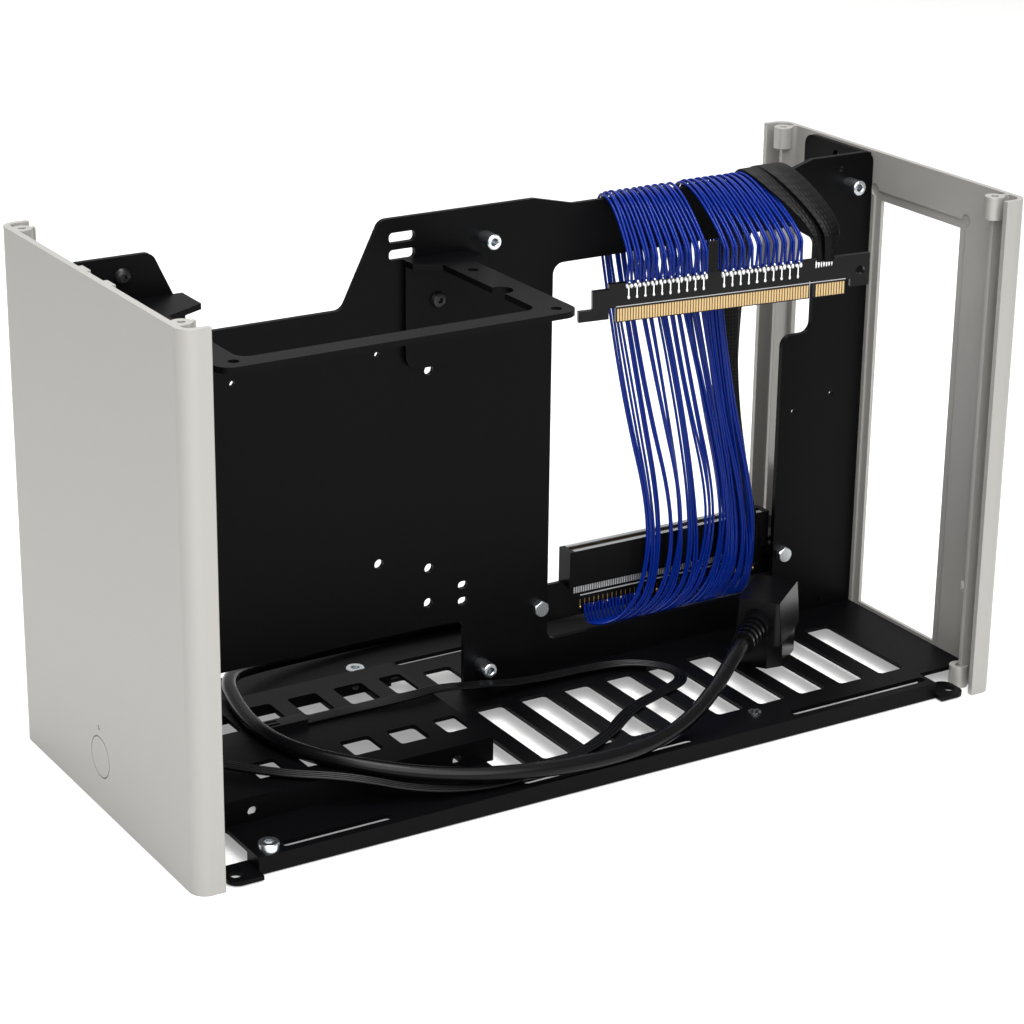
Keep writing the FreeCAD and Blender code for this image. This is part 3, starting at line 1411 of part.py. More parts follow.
def switch_lead(board_back):
    half = S.switch_lead_width.value / 2
    thick = S.switch_lead_thick.value
    low = S.floor_top.value + thick / 2
    high = S.drive_top.value + thick / 2 + S.wire_clear.value
    clear, straight = S.wire_clear.value, S.lead_straight.value
    out = Vector(S.button_x.value, board_back.value + clear, S.switch_lead_exit.value)
    into = Vector(0, S.connector_rear.value + clear, high)
    spots = [out, out + Vector(0, straight / 2, 0)]
    spots += [on_floor(stop, low) for stop in SWITCH_STOPS]
    spots += [into + Vector(0, straight, 0), into]
    stations = []
    for index, spot in enumerate(spots):
        before = spots[max(index - 1, 0)]
        after = spots[min(index + 1, len(spots) - 1)]
        across = Vector(0, 0, 1).cross(after - before).normalize() * half
        stations.append((spot, across))
    ribbon("switch_lead", stations, thick / 2)
    body = new_body("switch_connector")
    side = S.connector_half
    grow(body, "XY_Plane", S.drive_top, S.connector_height,
         lambda p: p.rectangle(-side, side, S.connector_front, S.connector_rear))

    def sockets(p):
        wall, wide = S.connector_wall, S.connector_window
        last = S.connector_front + S.connector_window_length
        p.rectangle(-wall - wide, -wall, S.connector_front - wall, last)
        p.rectangle(wall, wall + wide, S.connector_front - wall, last)

    grow(body, "XY_Plane", S.drive_top + S.connector_height, S.connector_wall, sockets, "Pocket")


def main():
    front_panel()
    rear_panel()
    floor_plate()
    motherboard_tray()
    psu_bracket()
    drive_tray()
    rear_tie_plate()
    fasteners()
    riser_slot_side()
    riser_plug_side()
    riser_wires()
    plug = mains_plug()
    mains_lead(plug)
    switch_lead(power_button())
    DOC.recompute()
    os.makedirs(FOLDER, exist_ok=True)
    for item in DOC.Objects:
        if "Invalid" in item.State or "Error" in item.State:
            raise RuntimeError(f"{item.Name} {item.State}")
    for node in NODES:
        shape = node.Shape
        if shape.isNull() or not shape.isValid():
            raise RuntimeError(f"{node.Label} has no valid shape")
        shape.exportStep(f"{FOLDER}/{node.Label}.step")
        box = shape.BoundBox
        print(f"{node.Label:20s} solids {len(shape.Solids)} volume {shape.Volume:10.1f} "
              f"x {box.XMin:7.1f} {box.XMax:7.1f} y {box.YMin:7.1f} {box.YMax:7.1f} "
              f"z {box.ZMin:6.1f} {box.ZMax:6.1f}")


main()
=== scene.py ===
"""Studio scene of a mini-ITX case frame: finishes, riser wires, leads and small metalwork.

Sizes in the classes are millimetres in the part's own frame: X across the case toward the open
near side, Y from the front panel to the rear panel, Z up from the floor.
"""

from __future__ import annotations

import logging
import math
import random
from dataclasses import dataclass
from enum import Enum
from typing import Iterable, Sequence

import bpy
from mathutils import Matrix, Vector

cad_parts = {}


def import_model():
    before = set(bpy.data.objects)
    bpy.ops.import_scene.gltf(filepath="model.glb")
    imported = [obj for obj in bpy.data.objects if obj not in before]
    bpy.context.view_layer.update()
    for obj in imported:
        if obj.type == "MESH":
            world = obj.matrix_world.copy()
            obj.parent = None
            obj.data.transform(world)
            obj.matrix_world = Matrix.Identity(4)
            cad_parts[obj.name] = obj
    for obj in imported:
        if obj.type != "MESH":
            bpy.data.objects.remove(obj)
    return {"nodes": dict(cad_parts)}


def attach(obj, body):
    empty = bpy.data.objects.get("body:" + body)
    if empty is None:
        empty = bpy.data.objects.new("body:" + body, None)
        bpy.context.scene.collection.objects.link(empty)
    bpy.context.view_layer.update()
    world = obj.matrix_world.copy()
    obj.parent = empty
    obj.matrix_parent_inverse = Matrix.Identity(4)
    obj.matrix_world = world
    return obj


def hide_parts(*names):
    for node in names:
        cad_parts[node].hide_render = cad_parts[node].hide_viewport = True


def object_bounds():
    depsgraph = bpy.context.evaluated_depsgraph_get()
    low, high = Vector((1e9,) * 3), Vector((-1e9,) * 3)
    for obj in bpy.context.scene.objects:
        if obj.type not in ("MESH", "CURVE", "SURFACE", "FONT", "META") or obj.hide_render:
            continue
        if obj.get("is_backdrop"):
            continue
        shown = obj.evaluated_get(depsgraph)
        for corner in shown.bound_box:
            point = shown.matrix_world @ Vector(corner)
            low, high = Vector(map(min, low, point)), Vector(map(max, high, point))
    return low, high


LOG = logging.getLogger("case_scene")
MM = 0.001
WAVE_TURN = 6.3
BUMP_STRENGTH = 0.6
EDGE_SAMPLES = 2
BEAD_LEVELS = 3
STRAND_SIDES = 10
BOTH_SIDES = (1, -1)
Point = tuple[float, float, float]


def metres(point: Sequence[float]) -> Vector:
    """A point in millimetres as a vector in metres."""
    return Vector(point) * MM


def linear(code: str) -> tuple[float, float, float, float]:
    """An sRGB hex colour as linear red, green, blue and alpha.

    Args:
        code: six hex digits, with or without a leading hash.

    Returns:
        The colour in the renderer's linear space.
    """
    digits = code.lstrip("#")
    shown = [int(digits[i:i + 2], 16) / 255 for i in (0, 2, 4)]
    light = [c / 12.92 if c <= 0.04045 else ((c + 0.055) / 1.055) ** 2.4 for c in shown]
    return (light[0], light[1], light[2], 1.0)


def add_node(tree: bpy.types.NodeTree, kind: str, **values: object) -> bpy.types.Node:
    """Add one node and set its sockets or properties by name.

    Args:
        tree: the tree that receives the node.
        kind: Blender's node type.
        **values: socket names, with underscores for spaces, or node properties in lower case.

    Returns:
        The new node.
    """
    node = tree.nodes.new(kind)
    for key, value in values.items():
        label = key.replace("_", " ")
        if label in node.inputs:
            node.inputs[label].default_value = value
        else:
            setattr(node, key, value)
    return node


class Slot(Enum):
    """Material slots of the record, and the bare metals that only the scene shows."""

    ALUMINIUM = "anodised_aluminium"
    STEEL = "black_steel"
    ZINC = "zinc_steel"
    SCREW = "black_screw"
    NYLON = "black_nylon"
    BOARD = "black_board"
    WIRE = "blue_wire"
    BRAID = "black_braid"
    PVC = "black_pvc"
    ACRYLIC = "clear_acrylic"
    GOLD = "gold_plate"
    TIN = "tin_solder"
    BRASS = "brass_contact"
    # Pale grey, used for the slot board's line and for a painted highlight strip above the card's
    # fingers
    INK_AND_HIGHLIGHT = "pale_ink_and_highlight"


class Grain(Enum):
    """Surface relief of a finish."""

    NONE = "none"
    BLAST = "bead blast"
    POWDER = "powder coat"
    WEAVE = "weave"


@dataclass(frozen=True)
class Finish:
    """One real finish, with its colour, sheen and relief."""

    slot: Slot
    colour: str
    roughness: float
    metallic: float = 0.0
    grain: Grain = Grain.NONE
    grain_size: float = 1.0
    relief: float = 0.0
    glass: float = 0.0
    mottle: float = 0.0
    specular: float = 0.5
    edge: float = 0.0

    def material(self) -> bpy.types.Material:
        """Build the material.

        Returns:
            A node material named for the slot.
        """
        made = bpy.data.materials.new(self.slot.value)
        made.use_nodes = True
        tree = made.node_tree
        tree.nodes.clear()
        shader = add_node(tree, "ShaderNodeBsdfPrincipled", Base_Color=linear(self.colour),
                          Roughness=self.roughness, Metallic=self.metallic,
                          Transmission_Weight=self.glass, Specular_IOR_Level=self.specular)
        out = add_node(tree, "ShaderNodeOutputMaterial")
        tree.links.new(shader.outputs["BSDF"], out.inputs["Surface"])
        if self.grain is not Grain.NONE:
            self._relief(tree, shader)
        made.diffuse_color = linear(self.colour)
        return made

    def _relief(self, tree: bpy.types.NodeTree, shader: bpy.types.Node) -> None:
        """Join the grain to the shader: bump, softened edges and a slight change of sheen.

        Args:
            tree: the material's tree.
            shader: the shader that takes the relief.
        """
        place = add_node(tree, "ShaderNodeTexCoord")
        scale = 1.0 / (self.grain_size * MM)
        if self.grain is Grain.WEAVE:
            joined = add_node(tree, "ShaderNodeMath", operation="MULTIPLY")
            for number, run in enumerate(("Z", "Y")):
                yarn = add_node(tree, "ShaderNodeTexWave", Scale=scale / WAVE_TURN,
                                Distortion=0.0, bands_direction=run)
                tree.links.new(place.outputs["Object"], yarn.inputs["Vector"])
                tree.links.new(yarn.outputs["Fac"], joined.inputs[number])
            height = joined.outputs["Value"]
        else:
            noise = add_node(tree, "ShaderNodeTexNoise", Scale=scale, Detail=2.0, Roughness=0.5)
            tree.links.new(place.outputs["Object"], noise.inputs["Vector"])
            height = noise.outputs["Fac"]
        bump = add_node(tree, "ShaderNodeBump", Strength=BUMP_STRENGTH,
                        Distance=self.relief * MM)
        tree.links.new(height, bump.inputs["Height"])
        tree.links.new(bump.outputs["Normal"], shader.inputs["Normal"])
        if self.edge > 0.0:
            soft = add_node(tree, "ShaderNodeBevel", Radius=self.edge * MM, samples=EDGE_SAMPLES)
            tree.links.new(soft.outputs["Normal"], bump.inputs["Normal"])
        if self.mottle > 0.0:
            spread = add_node(tree, "ShaderNodeMapRange")
            spread.inputs["To Min"].default_value = self.roughness - self.mottle
            spread.inputs["To Max"].default_value = self.roughness + self.mottle
            tree.links.new(height, spread.inputs["Value"])
            tree.links.new(spread.outputs["Result"], shader.inputs["Roughness"])


FINISHES = (
    Finish(Slot.ALUMINIUM, "#94928E", 0.4, metallic=0.35, grain=Grain.BLAST, grain_size=0.35,
           relief=0.012, mottle=0.05, edge=0.4),
    Finish(Slot.STEEL, "#040405", 0.42, grain=Grain.POWDER, grain_size=0.8, relief=0.03,
           mottle=0.08, specular=0.06),
    Finish(Slot.ZINC, "#D0D5D8", 0.26, metallic=1.0, grain=Grain.BLAST, grain_size=0.6,
           relief=0.01),
    Finish(Slot.SCREW, "#0E0E10", 0.36, metallic=0.4),
    Finish(Slot.NYLON, "#060607", 0.38, grain=Grain.POWDER, grain_size=0.5, relief=0.012,
           specular=0.1),
    Finish(Slot.BOARD, "#050506", 0.28, specular=0.15),
    Finish(Slot.WIRE, "#021A64", 0.18, specular=0.14),
    Finish(Slot.BRAID, "#050505", 0.4, grain=Grain.WEAVE, grain_size=0.7, relief=0.2,
           specular=0.09),
    Finish(Slot.PVC, "#040405", 0.27, grain=Grain.POWDER, grain_size=0.6, relief=0.012,
           specular=0.16),
    Finish(Slot.ACRYLIC, "#F2F4F4", 0.08, glass=0.9),
    Finish(Slot.GOLD, "#C0A478", 0.34, metallic=1.0),
    Finish(Slot.TIN, "#E6E7E8", 0.3, metallic=0.85, grain=Grain.BLAST, grain_size=0.8,
           relief=0.03),
    Finish(Slot.BRASS, "#B99A68", 0.34, metallic=1.0),
    # Pale grey for the slot board's line, and for the painted highlight strip that stands in for
    # the lit edge above the card's fingers
    Finish(Slot.INK_AND_HIGHLIGHT, "#9A9B9B", 0.5),
)

NODE_SLOTS: dict[str, Slot] = {
    "front_panel": Slot.ALUMINIUM, "rear_panel": Slot.ALUMINIUM, "power_button": Slot.ALUMINIUM,
    "floor_plate": Slot.STEEL, "motherboard_tray": Slot.STEEL, "psu_bracket": Slot.STEEL,
    "drive_tray": Slot.STEEL, "rear_tie_plate": Slot.STEEL,
    "board_standoffs": Slot.ZINC, "floor_inserts": Slot.ZINC, "riser_bolts": Slot.ZINC,
    "riser_nuts": Slot.ZINC, "floor_screws": Slot.ZINC, "tray_screws": Slot.SCREW,
    "bracket_screws": Slot.SCREW, "tie_screws": Slot.SCREW, "riser_spacers": Slot.NYLON,
    "riser_slot": Slot.NYLON, "ac_inlet": Slot.NYLON, "button_housing": Slot.NYLON,
    "tact_switch": Slot.NYLON, "switch_connector": Slot.NYLON, "riser_slot_board": Slot.BOARD,
    "riser_plug_board": Slot.BOARD, "switch_board": Slot.BOARD, "ac_plug": Slot.PVC,
    "strain_reliefs": Slot.PVC, "led_pipe": Slot.ACRYLIC,
}


@dataclass
class Workshop:
    """The loaded frame and the materials that every sub-assembly shares."""

    nodes: dict[str, bpy.types.Object]
    paints: dict[Slot, bpy.types.Material]

    def paint(self, obj: bpy.types.Object, slot: Slot) -> None:
        """Give an object one finish."""
        obj.data.materials.clear()
        obj.data.materials.append(self.paints[slot])

    def add(self, name: str, mesh: bpy.types.Mesh, slot: Slot | None = None) -> bpy.types.Object:
        """Show a mesh as a piece that stands with the case.

        Args:
            name: the piece's name.
            mesh: its mesh, already in the part's frame.
            slot: the record's slot of the piece; not used.

        Returns:
            The linked object.
        """
        piece = bpy.data.objects.new(name, mesh)
        bpy.context.scene.collection.objects.link(piece)
        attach(piece, "case")
        LOG.info("piece %s: %d faces", name, len(mesh.polygons))
        return piece


class Recipe:
    """A Geometry Nodes tree with named inputs, ending in Realize Instances and Set Material."""

    def __init__(self, name: str) -> None:
        """Start an empty tree that takes and gives geometry."""
        self.tree = bpy.data.node_groups.new(name, "GeometryNodeTree")
        self.tree.interface.new_socket("Geometry", in_out="INPUT",
                                       socket_type="NodeSocketGeometry")
        self.tree.interface.new_socket("Geometry", in_out="OUTPUT",
                                       socket_type="NodeSocketGeometry")
        self.source = self.tree.nodes.new("NodeGroupInput")

    def size(self, name: str, kind: str) -> None:
        """Add one named input: Float, Int, Vector or Material."""
        self.tree.interface.new_socket(name, in_out="INPUT", socket_type=f"NodeSocket{kind}")

    def node(self, kind: str, **values: object) -> bpy.types.Node:
        """Add a node to the tree."""
        return add_node(self.tree, kind, **values)

    def link(self, start: bpy.types.NodeSocket, end: bpy.types.NodeSocket) -> None:
        """Join two sockets."""
        self.tree.links.new(start, end)

    def close(self, geometry: bpy.types.NodeSocket) -> None:
        """End the tree: real geometry in the named material."""
        real = self.node("GeometryNodeRealizeInstances")
        paint = self.node("GeometryNodeSetMaterial")
        end = self.node("NodeGroupOutput")
        self.link(geometry, real.inputs["Geometry"])
        self.link(real.outputs["Geometry"], paint.inputs["Geometry"])
        self.link(self.source.outputs["Material"], paint.inputs["Material"])
        self.link(paint.outputs["Geometry"], end.inputs["Geometry"])

    def bake(self, data: bpy.types.ID, values: dict[str, object]) -> bpy.types.Mesh:
        """Run the tree on a mesh or curve and keep the result as a plain mesh.

        Args:
            data: the mesh or curve that the tree starts from.
            values: the tree's named inputs.

        Returns:
            The realised mesh.
        """
        holder = bpy.data.objects.new("holder", data)
        bpy.context.scene.collection.objects.link(holder)
        modifier = holder.modifiers.new(self.tree.name, "NODES")
        modifier.node_group = self.tree
        for item in self.tree.interface.items_tree:
            if item.item_type == "SOCKET" and item.in_out == "INPUT" and item.name in values:
                modifier[item.identifier] = values[item.name]
        graph = bpy.context.evaluated_depsgraph_get()
        mesh = bpy.data.meshes.new_from_object(holder.evaluated_get(graph), depsgraph=graph)
        holder.modifiers.remove(modifier)
        bpy.data.objects.remove(holder)
        return mesh


def block_row_recipe() -> Recipe:
    """A row of equal blocks, for contacts, pins and fingers.

    Returns:
        The tree, with Count, Start, Offset, Size and Material inputs.
    """
    recipe = Recipe("contact_row")
    for name, kind in (("Count", "Int"), ("Start", "Vector"), ("Offset", "Vector"),
                       ("Size", "Vector"), ("Material", "Material")):
        recipe.size(name, kind)
    line = recipe.node("GeometryNodeMeshLine", mode="OFFSET")
    cube = recipe.node("GeometryNodeMeshCube")
    spread = recipe.node("GeometryNodeInstanceOnPoints")
    given = recipe.source.outputs
    recipe.link(given["Count"], line.inputs["Count"])
    recipe.link(given["Start"], line.inputs["Start Location"])
    recipe.link(given["Offset"], line.inputs["Offset"])
    recipe.link(given["Size"], cube.inputs["Size"])
    recipe.link(line.outputs["Mesh"], spread.inputs["Points"])
    recipe.link(cube.outputs["Mesh"], spread.inputs["Instance"])
    recipe.close(spread.outputs["Instances"])
    return recipe


def solder_row_recipe() -> Recipe:
    """A row of solder beads of slightly uneven size.

    Returns:
        The tree, with Count, Start, Offset, Bead, Least, Most, Seed and Material inputs.
    """
    recipe = Recipe("solder_row")
    for name, kind in (("Count", "Int"), ("Start", "Vector"), ("Offset", "Vector"),
                       ("Bead", "Float"), ("Least", "Vector"), ("Most", "Vector"),
                       ("Seed", "Int"), ("Material", "Material")):
        recipe.size(name, kind)
    line = recipe.node("GeometryNodeMeshLine", mode="OFFSET")
    bead = recipe.node("GeometryNodeMeshIcoSphere", Subdivisions=BEAD_LEVELS)
    vary = recipe.node("FunctionNodeRandomValue", data_type="FLOAT_VECTOR")
    smooth = recipe.node("GeometryNodeSetShadeSmooth")
    spread = recipe.node("GeometryNodeInstanceOnPoints")
    given = recipe.source.outputs
    recipe.link(given["Count"], line.inputs["Count"])
    recipe.link(given["Start"], line.inputs["Start Location"])
    recipe.link(given["Offset"], line.inputs["Offset"])
    recipe.link(given["Bead"], bead.inputs["Radius"])
    recipe.link(given["Least"], vary.inputs["Min"])
    recipe.link(given["Most"], vary.inputs["Max"])
    recipe.link(given["Seed"], vary.inputs["Seed"])
    recipe.link(bead.outputs["Mesh"], smooth.inputs["Geometry"])
    recipe.link(line.outputs["Mesh"], spread.inputs["Points"])
    recipe.link(smooth.outputs["Geometry"], spread.inputs["Instance"])
    recipe.link(vary.outputs["Value"], spread.inputs["Scale"])
    recipe.close(spread.outputs["Instances"])
    return recipe


def strand_recipe() -> Recipe:
    """Round insulation swept along every spline of a curve.

    Returns:
        The tree, with Radius and Material inputs.
    """
    recipe = Recipe("strand_sweep")
    recipe.size("Radius", "Float")
    recipe.size("Material", "Material")
    ring = recipe.node("GeometryNodeCurvePrimitiveCircle", Resolution=STRAND_SIDES)
    sweep = recipe.node("GeometryNodeCurveToMesh")
    sweep.inputs["Fill Caps"].default_value = True
    smooth = recipe.node("GeometryNodeSetShadeSmooth")
    given = recipe.source.outputs
    recipe.link(given["Geometry"], sweep.inputs["Curve"])
    recipe.link(given["Radius"], ring.inputs["Radius"])
    recipe.link(ring.outputs["Curve"], sweep.inputs["Profile Curve"])
    recipe.link(sweep.outputs["Mesh"], smooth.inputs["Geometry"])
    recipe.close(smooth.outputs["Geometry"])
    return recipe


def route_curve(name: str, routes: Iterable[Sequence[Point]], steps: int = 10) -> bpy.types.Curve:
    """Smooth splines with the given route points as their control points.

    Args:
        name: the curve's name.
        routes: one list of points, in millimetres, for each spline.
        steps: points between two control points.

    Returns:
        A curve with no thickness.
    """
    curve = bpy.data.curves.new(name, "CURVE")
    curve.dimensions = "3D"
    curve.resolution_u = steps
    for route in routes:
        spline = curve.splines.new("NURBS")
        spline.points.add(len(route) - 1)
        for point, spot in zip(spline.points, route):
            point.co = (*metres(spot), 1.0)
        spline.order_u = 3
        spline.use_endpoint_u = True
        spline.resolution_u = steps
    return curve


def points_on(curve: bpy.types.Curve) -> list[Vector]:
    """Points along a curve of one spline, as Blender works them out.

    Args:
        curve: a curve with no thickness.

    Returns:
        The points in order, in metres.
    """
    holder = bpy.data.objects.new("route", curve)
    bpy.context.scene.collection.objects.link(holder)
    graph = bpy.context.evaluated_depsgraph_get()
    mesh = bpy.data.meshes.new_from_object(holder.evaluated_get(graph), depsgraph=graph)
    spots = [vertex.co.copy() for vertex in mesh.vertices]
    bpy.data.objects.remove(holder)
    bpy.data.meshes.remove(mesh)
    return spots


def run_length(spots: Sequence[Vector]) -> float:
    """Length of a run of points."""
    return sum((b - a).length for a, b in zip(spots, spots[1:]))


def merged(name: str, meshes: Sequence[bpy.types.Mesh]) -> bpy.types.Mesh:
    """Join meshes into one, keeping their materials and smoothing.

    Args:
        name: the new mesh's name.
        meshes: the meshes to join.

    Returns:
        One mesh.
    """
    whole = bpy.data.meshes.new(name)
    spots: list[Vector] = []
    faces: list[list[int]] = []
    slots: list[int] = []
    smooth: list[bool] = []
    paints: list[bpy.types.Material] = []
    for mesh in meshes:
        base = len(spots)
        spots.extend(vertex.co.copy() for vertex in mesh.vertices)
        for material in mesh.materials:
            if material not in paints:
                paints.append(material)
        for face in mesh.polygons:
            faces.append([base + index for index in face.vertices])
            slots.append(paints.index(mesh.materials[face.material_index]))
            smooth.append(face.use_smooth)
    whole.from_pydata(spots, [], faces)
    for material in paints:
        whole.materials.append(material)
    whole.polygons.foreach_set("material_index", slots)
    whole.polygons.foreach_set("use_smooth", smooth)
    whole.update()
    return whole


def block_row(row: Recipe, paint: bpy.types.Material, size: Point, start: Point,
              step: Point = (0.0, 0.0, 0.0), count: int = 1) -> bpy.types.Mesh:
    """Equal blocks in a row.

    Args:
        row: the tree that makes a row of blocks.
        paint: their material.
        size: of each block.
        start: middle of the first block.
        step: from one block to the next.
        count: how many blocks.

    Returns:
        One mesh of the row.
    """
    return row.bake(bpy.data.meshes.new("seed"), {
        "Count": count, "Offset": step, "Start": start, "Size": size, "Material": paint})


@dataclass(frozen=True)
class Bead:
    """Solder beads of one kind: size, least and most stretch, and place from the row's line."""

    radius: float
    least: Point
    most: Point
    seed: int
    out: float
    up: float = 0.0

    def row(self, beads: Recipe, paint: bpy.types.Material, start: Point, pitch: float,
            count: int, batch: int = 0) -> bpy.types.Mesh:
        """A row of these beads.

        Args:
            beads: the tree that makes a row of solder beads.
            paint: their material.
            start: where the row's line starts.
            pitch: from one bead to the next.
            count: how many beads.
            batch: number of the row among rows of the same kind.

        Returns:
            One mesh of the row.
        """
        return beads.bake(bpy.data.meshes.new("seed"), {
            "Count": count, "Offset": (0.0, pitch, 0.0), "Bead": self.radius,
            "Start": (start[0] + self.out, start[1], start[2] + self.up), "Least": self.least,
            "Most": self.most, "Seed": self.seed + batch, "Material": paint})


@dataclass
class CardEdge:
    """Card-edge end of the riser: where its board stands, and its fingers and joints.

    Own axes of the board: across it toward the near side, along it, and up it.
    """

    origin: Point = (0.0, 37.1, 145.2)
    yaw: float = -15.4
    rise: float = 3.0
    lean: float = 6.3
    sheet: float = 1.6
    long_run: float = 71.65
    key: float = 1.9
    short_run: float = 11.65
    finger_width: float = 0.7
    finger_pitch: float = 1.0
    finger_margin: float = 0.4
    finger_film: float = 0.06
    finger_low: float = -5.2
    finger_high: float = -0.5
    # A pale strip along the board just above the fingers: a painted highlight standing in for the
    # lit edge there
    highlight_height: float = 0.35
    highlight_width: float = 0.3
    highlight_film: float = 0.05
    film_lift: float = 0.02
    groups: tuple[tuple[float, float], ...] = ((3.0, 33.5), (38.0, 68.5))
    joint_height: float = 7.9
    leg_height: float = 5.4
    leg_out: float = 0.1
    leg_size: Point = (0.3, 0.4, 4.2)
    wire_bead: Bead = Bead(0.68, (1.0, 0.8, 1.1), (1.4, 1.05, 1.9), 11, 0.5)
    top_bead: Bead = Bead(0.5, (0.5, 0.5, 0.5), (1.1, 1.2, 1.1), 17, 0.9, 1.5)
    leg_bead: Bead = Bead(0.5, (0.7, 0.9, 1.2), (0.9, 1.15, 1.7), 23, 0.15, -2.0)
    ribbon_bead: Bead = Bead(0.4, (0.9, 0.8, 3.0), (1.2, 1.05, 4.2), 29, 0.4, -0.6)
    pairs: int = 10
    ribbon_group: tuple[float, float] = (73.6, 79.4)
    ribbon_joints: int = 7
    tab_from: Point = (0.2, 33.6, 9.0)
    tab_size: Point = (0.8, 3.4, 11.5)

    def placement(self) -> Matrix:
        """The board's place in the part's frame.

        Returns:
            A matrix from the board's own millimetres to metres.
        """
        turn = (Matrix.Rotation(math.radians(self.yaw), 4, "Z")
                @ Matrix.Rotation(math.radians(self.rise), 4, "X")
                @ Matrix.Rotation(math.radians(self.lean), 4, "Y"))
        return Matrix.Translation(metres(self.origin)) @ turn @ Matrix.Scale(MM, 4)

    def spot(self, across: float, along: float, up: float) -> Point:
        """A point of the board in the part's frame, in millimetres."""
        return tuple(self.placement() @ Vector((across, along, up)) / MM)

    def joint_pitch(self, group: tuple[float, float]) -> float:
        """Distance between two solder joints of a group."""
        return (group[1] - group[0]) / (2 * self.pairs)

    def fingers(self, shop: Workshop, row: Recipe) -> bpy.types.Mesh:
        """Gold fingers on both faces of the board.

        Args:
            shop: the shared frame and materials.
            row: the tree that makes a row of blocks.

        Returns:
            One mesh of every finger.
        """
        rows = []
        middle = (self.finger_low + self.finger_high) / 2
        face = self.sheet / 2 + self.film_lift
        size = (self.finger_film, self.finger_width, self.finger_high - self.finger_low)
        for side in BOTH_SIDES:
            for start, length in ((0.0, self.long_run), (self.long_run + self.key, self.short_run)):
                count = int(length - self.finger_margin)
                first = start + (length - count + 1) / 2
                rows.append(block_row(row, shop.paints[Slot.GOLD], size,
                                      (side * face, first, middle),
                                      (0.0, self.finger_pitch, 0.0), count))
        whole = self.long_run + self.key + self.short_run
        # Pale strip just above the fingers in the pale grey material: a painted highlight of the
        # lit edge
        rows.append(block_row(row, shop.paints[Slot.INK_AND_HIGHLIGHT], (self.highlight_film, whole, self.highlight_width),
                              (face, whole / 2, self.highlight_height)))
        return merged("fingers", rows)

    def joints(self, shop: Workshop, row: Recipe, beads: Recipe) -> bpy.types.Mesh:
        """Solder beads of each wire and the thin legs under every pair.

        Args:
            shop: the shared frame and materials.
            row: the tree that makes a row of blocks.
            beads: the tree that makes a row of solder beads.

        Returns:
            One mesh of all the joints.
        """
        near = self.sheet / 2
        tin = shop.paints[Slot.TIN]
        parts = []
        for number, group in enumerate(self.groups):
            pitch = self.joint_pitch(group)
            first = group[0] + pitch / 2
            middle = first + pitch / 2
            joint, leg = (near, middle, self.joint_height), (near, middle, self.leg_height)
            parts += [
                self.wire_bead.row(beads, tin, (near, first, self.joint_height), pitch,
                                   2 * self.pairs, number),
                self.top_bead.row(beads, tin, joint, 2 * pitch, self.pairs, number),
                block_row(row, tin, self.leg_size, (near + self.leg_out, middle, self.leg_height),
                          (0.0, 2 * pitch, 0.0), self.pairs),
                self.leg_bead.row(beads, tin, leg, 2 * pitch, self.pairs, number)]
        low, high = self.ribbon_group
        parts.append(self.ribbon_bead.row(
            beads, tin, (near, low, self.joint_height), (high - low) / (self.ribbon_joints - 1),
            self.ribbon_joints))
        return merged("joints", parts)

    def build(self, shop: Workshop, row: Recipe, beads: Recipe) -> list[bpy.types.Object]:
        """Make the board's metalwork.

        Args:
            shop: the shared frame and materials.
            row: the tree that makes a row of blocks.
            beads: the tree that makes a row of solder beads.

        Returns:
            The pieces on the board.
        """
        pieces = []
        tab = block_row(row, shop.paints[Slot.NYLON], self.tab_size,
                        tuple(Vector(self.tab_from) + Vector(self.tab_size) / 2))
        for name, mesh in (("riser_fingers", self.fingers(shop, row)), ("riser_tab", tab),
                           ("riser_joints", self.joints(shop, row, beads))):
            mesh.transform(self.placement())
            pieces.append(shop.add(name, mesh))
        return pieces


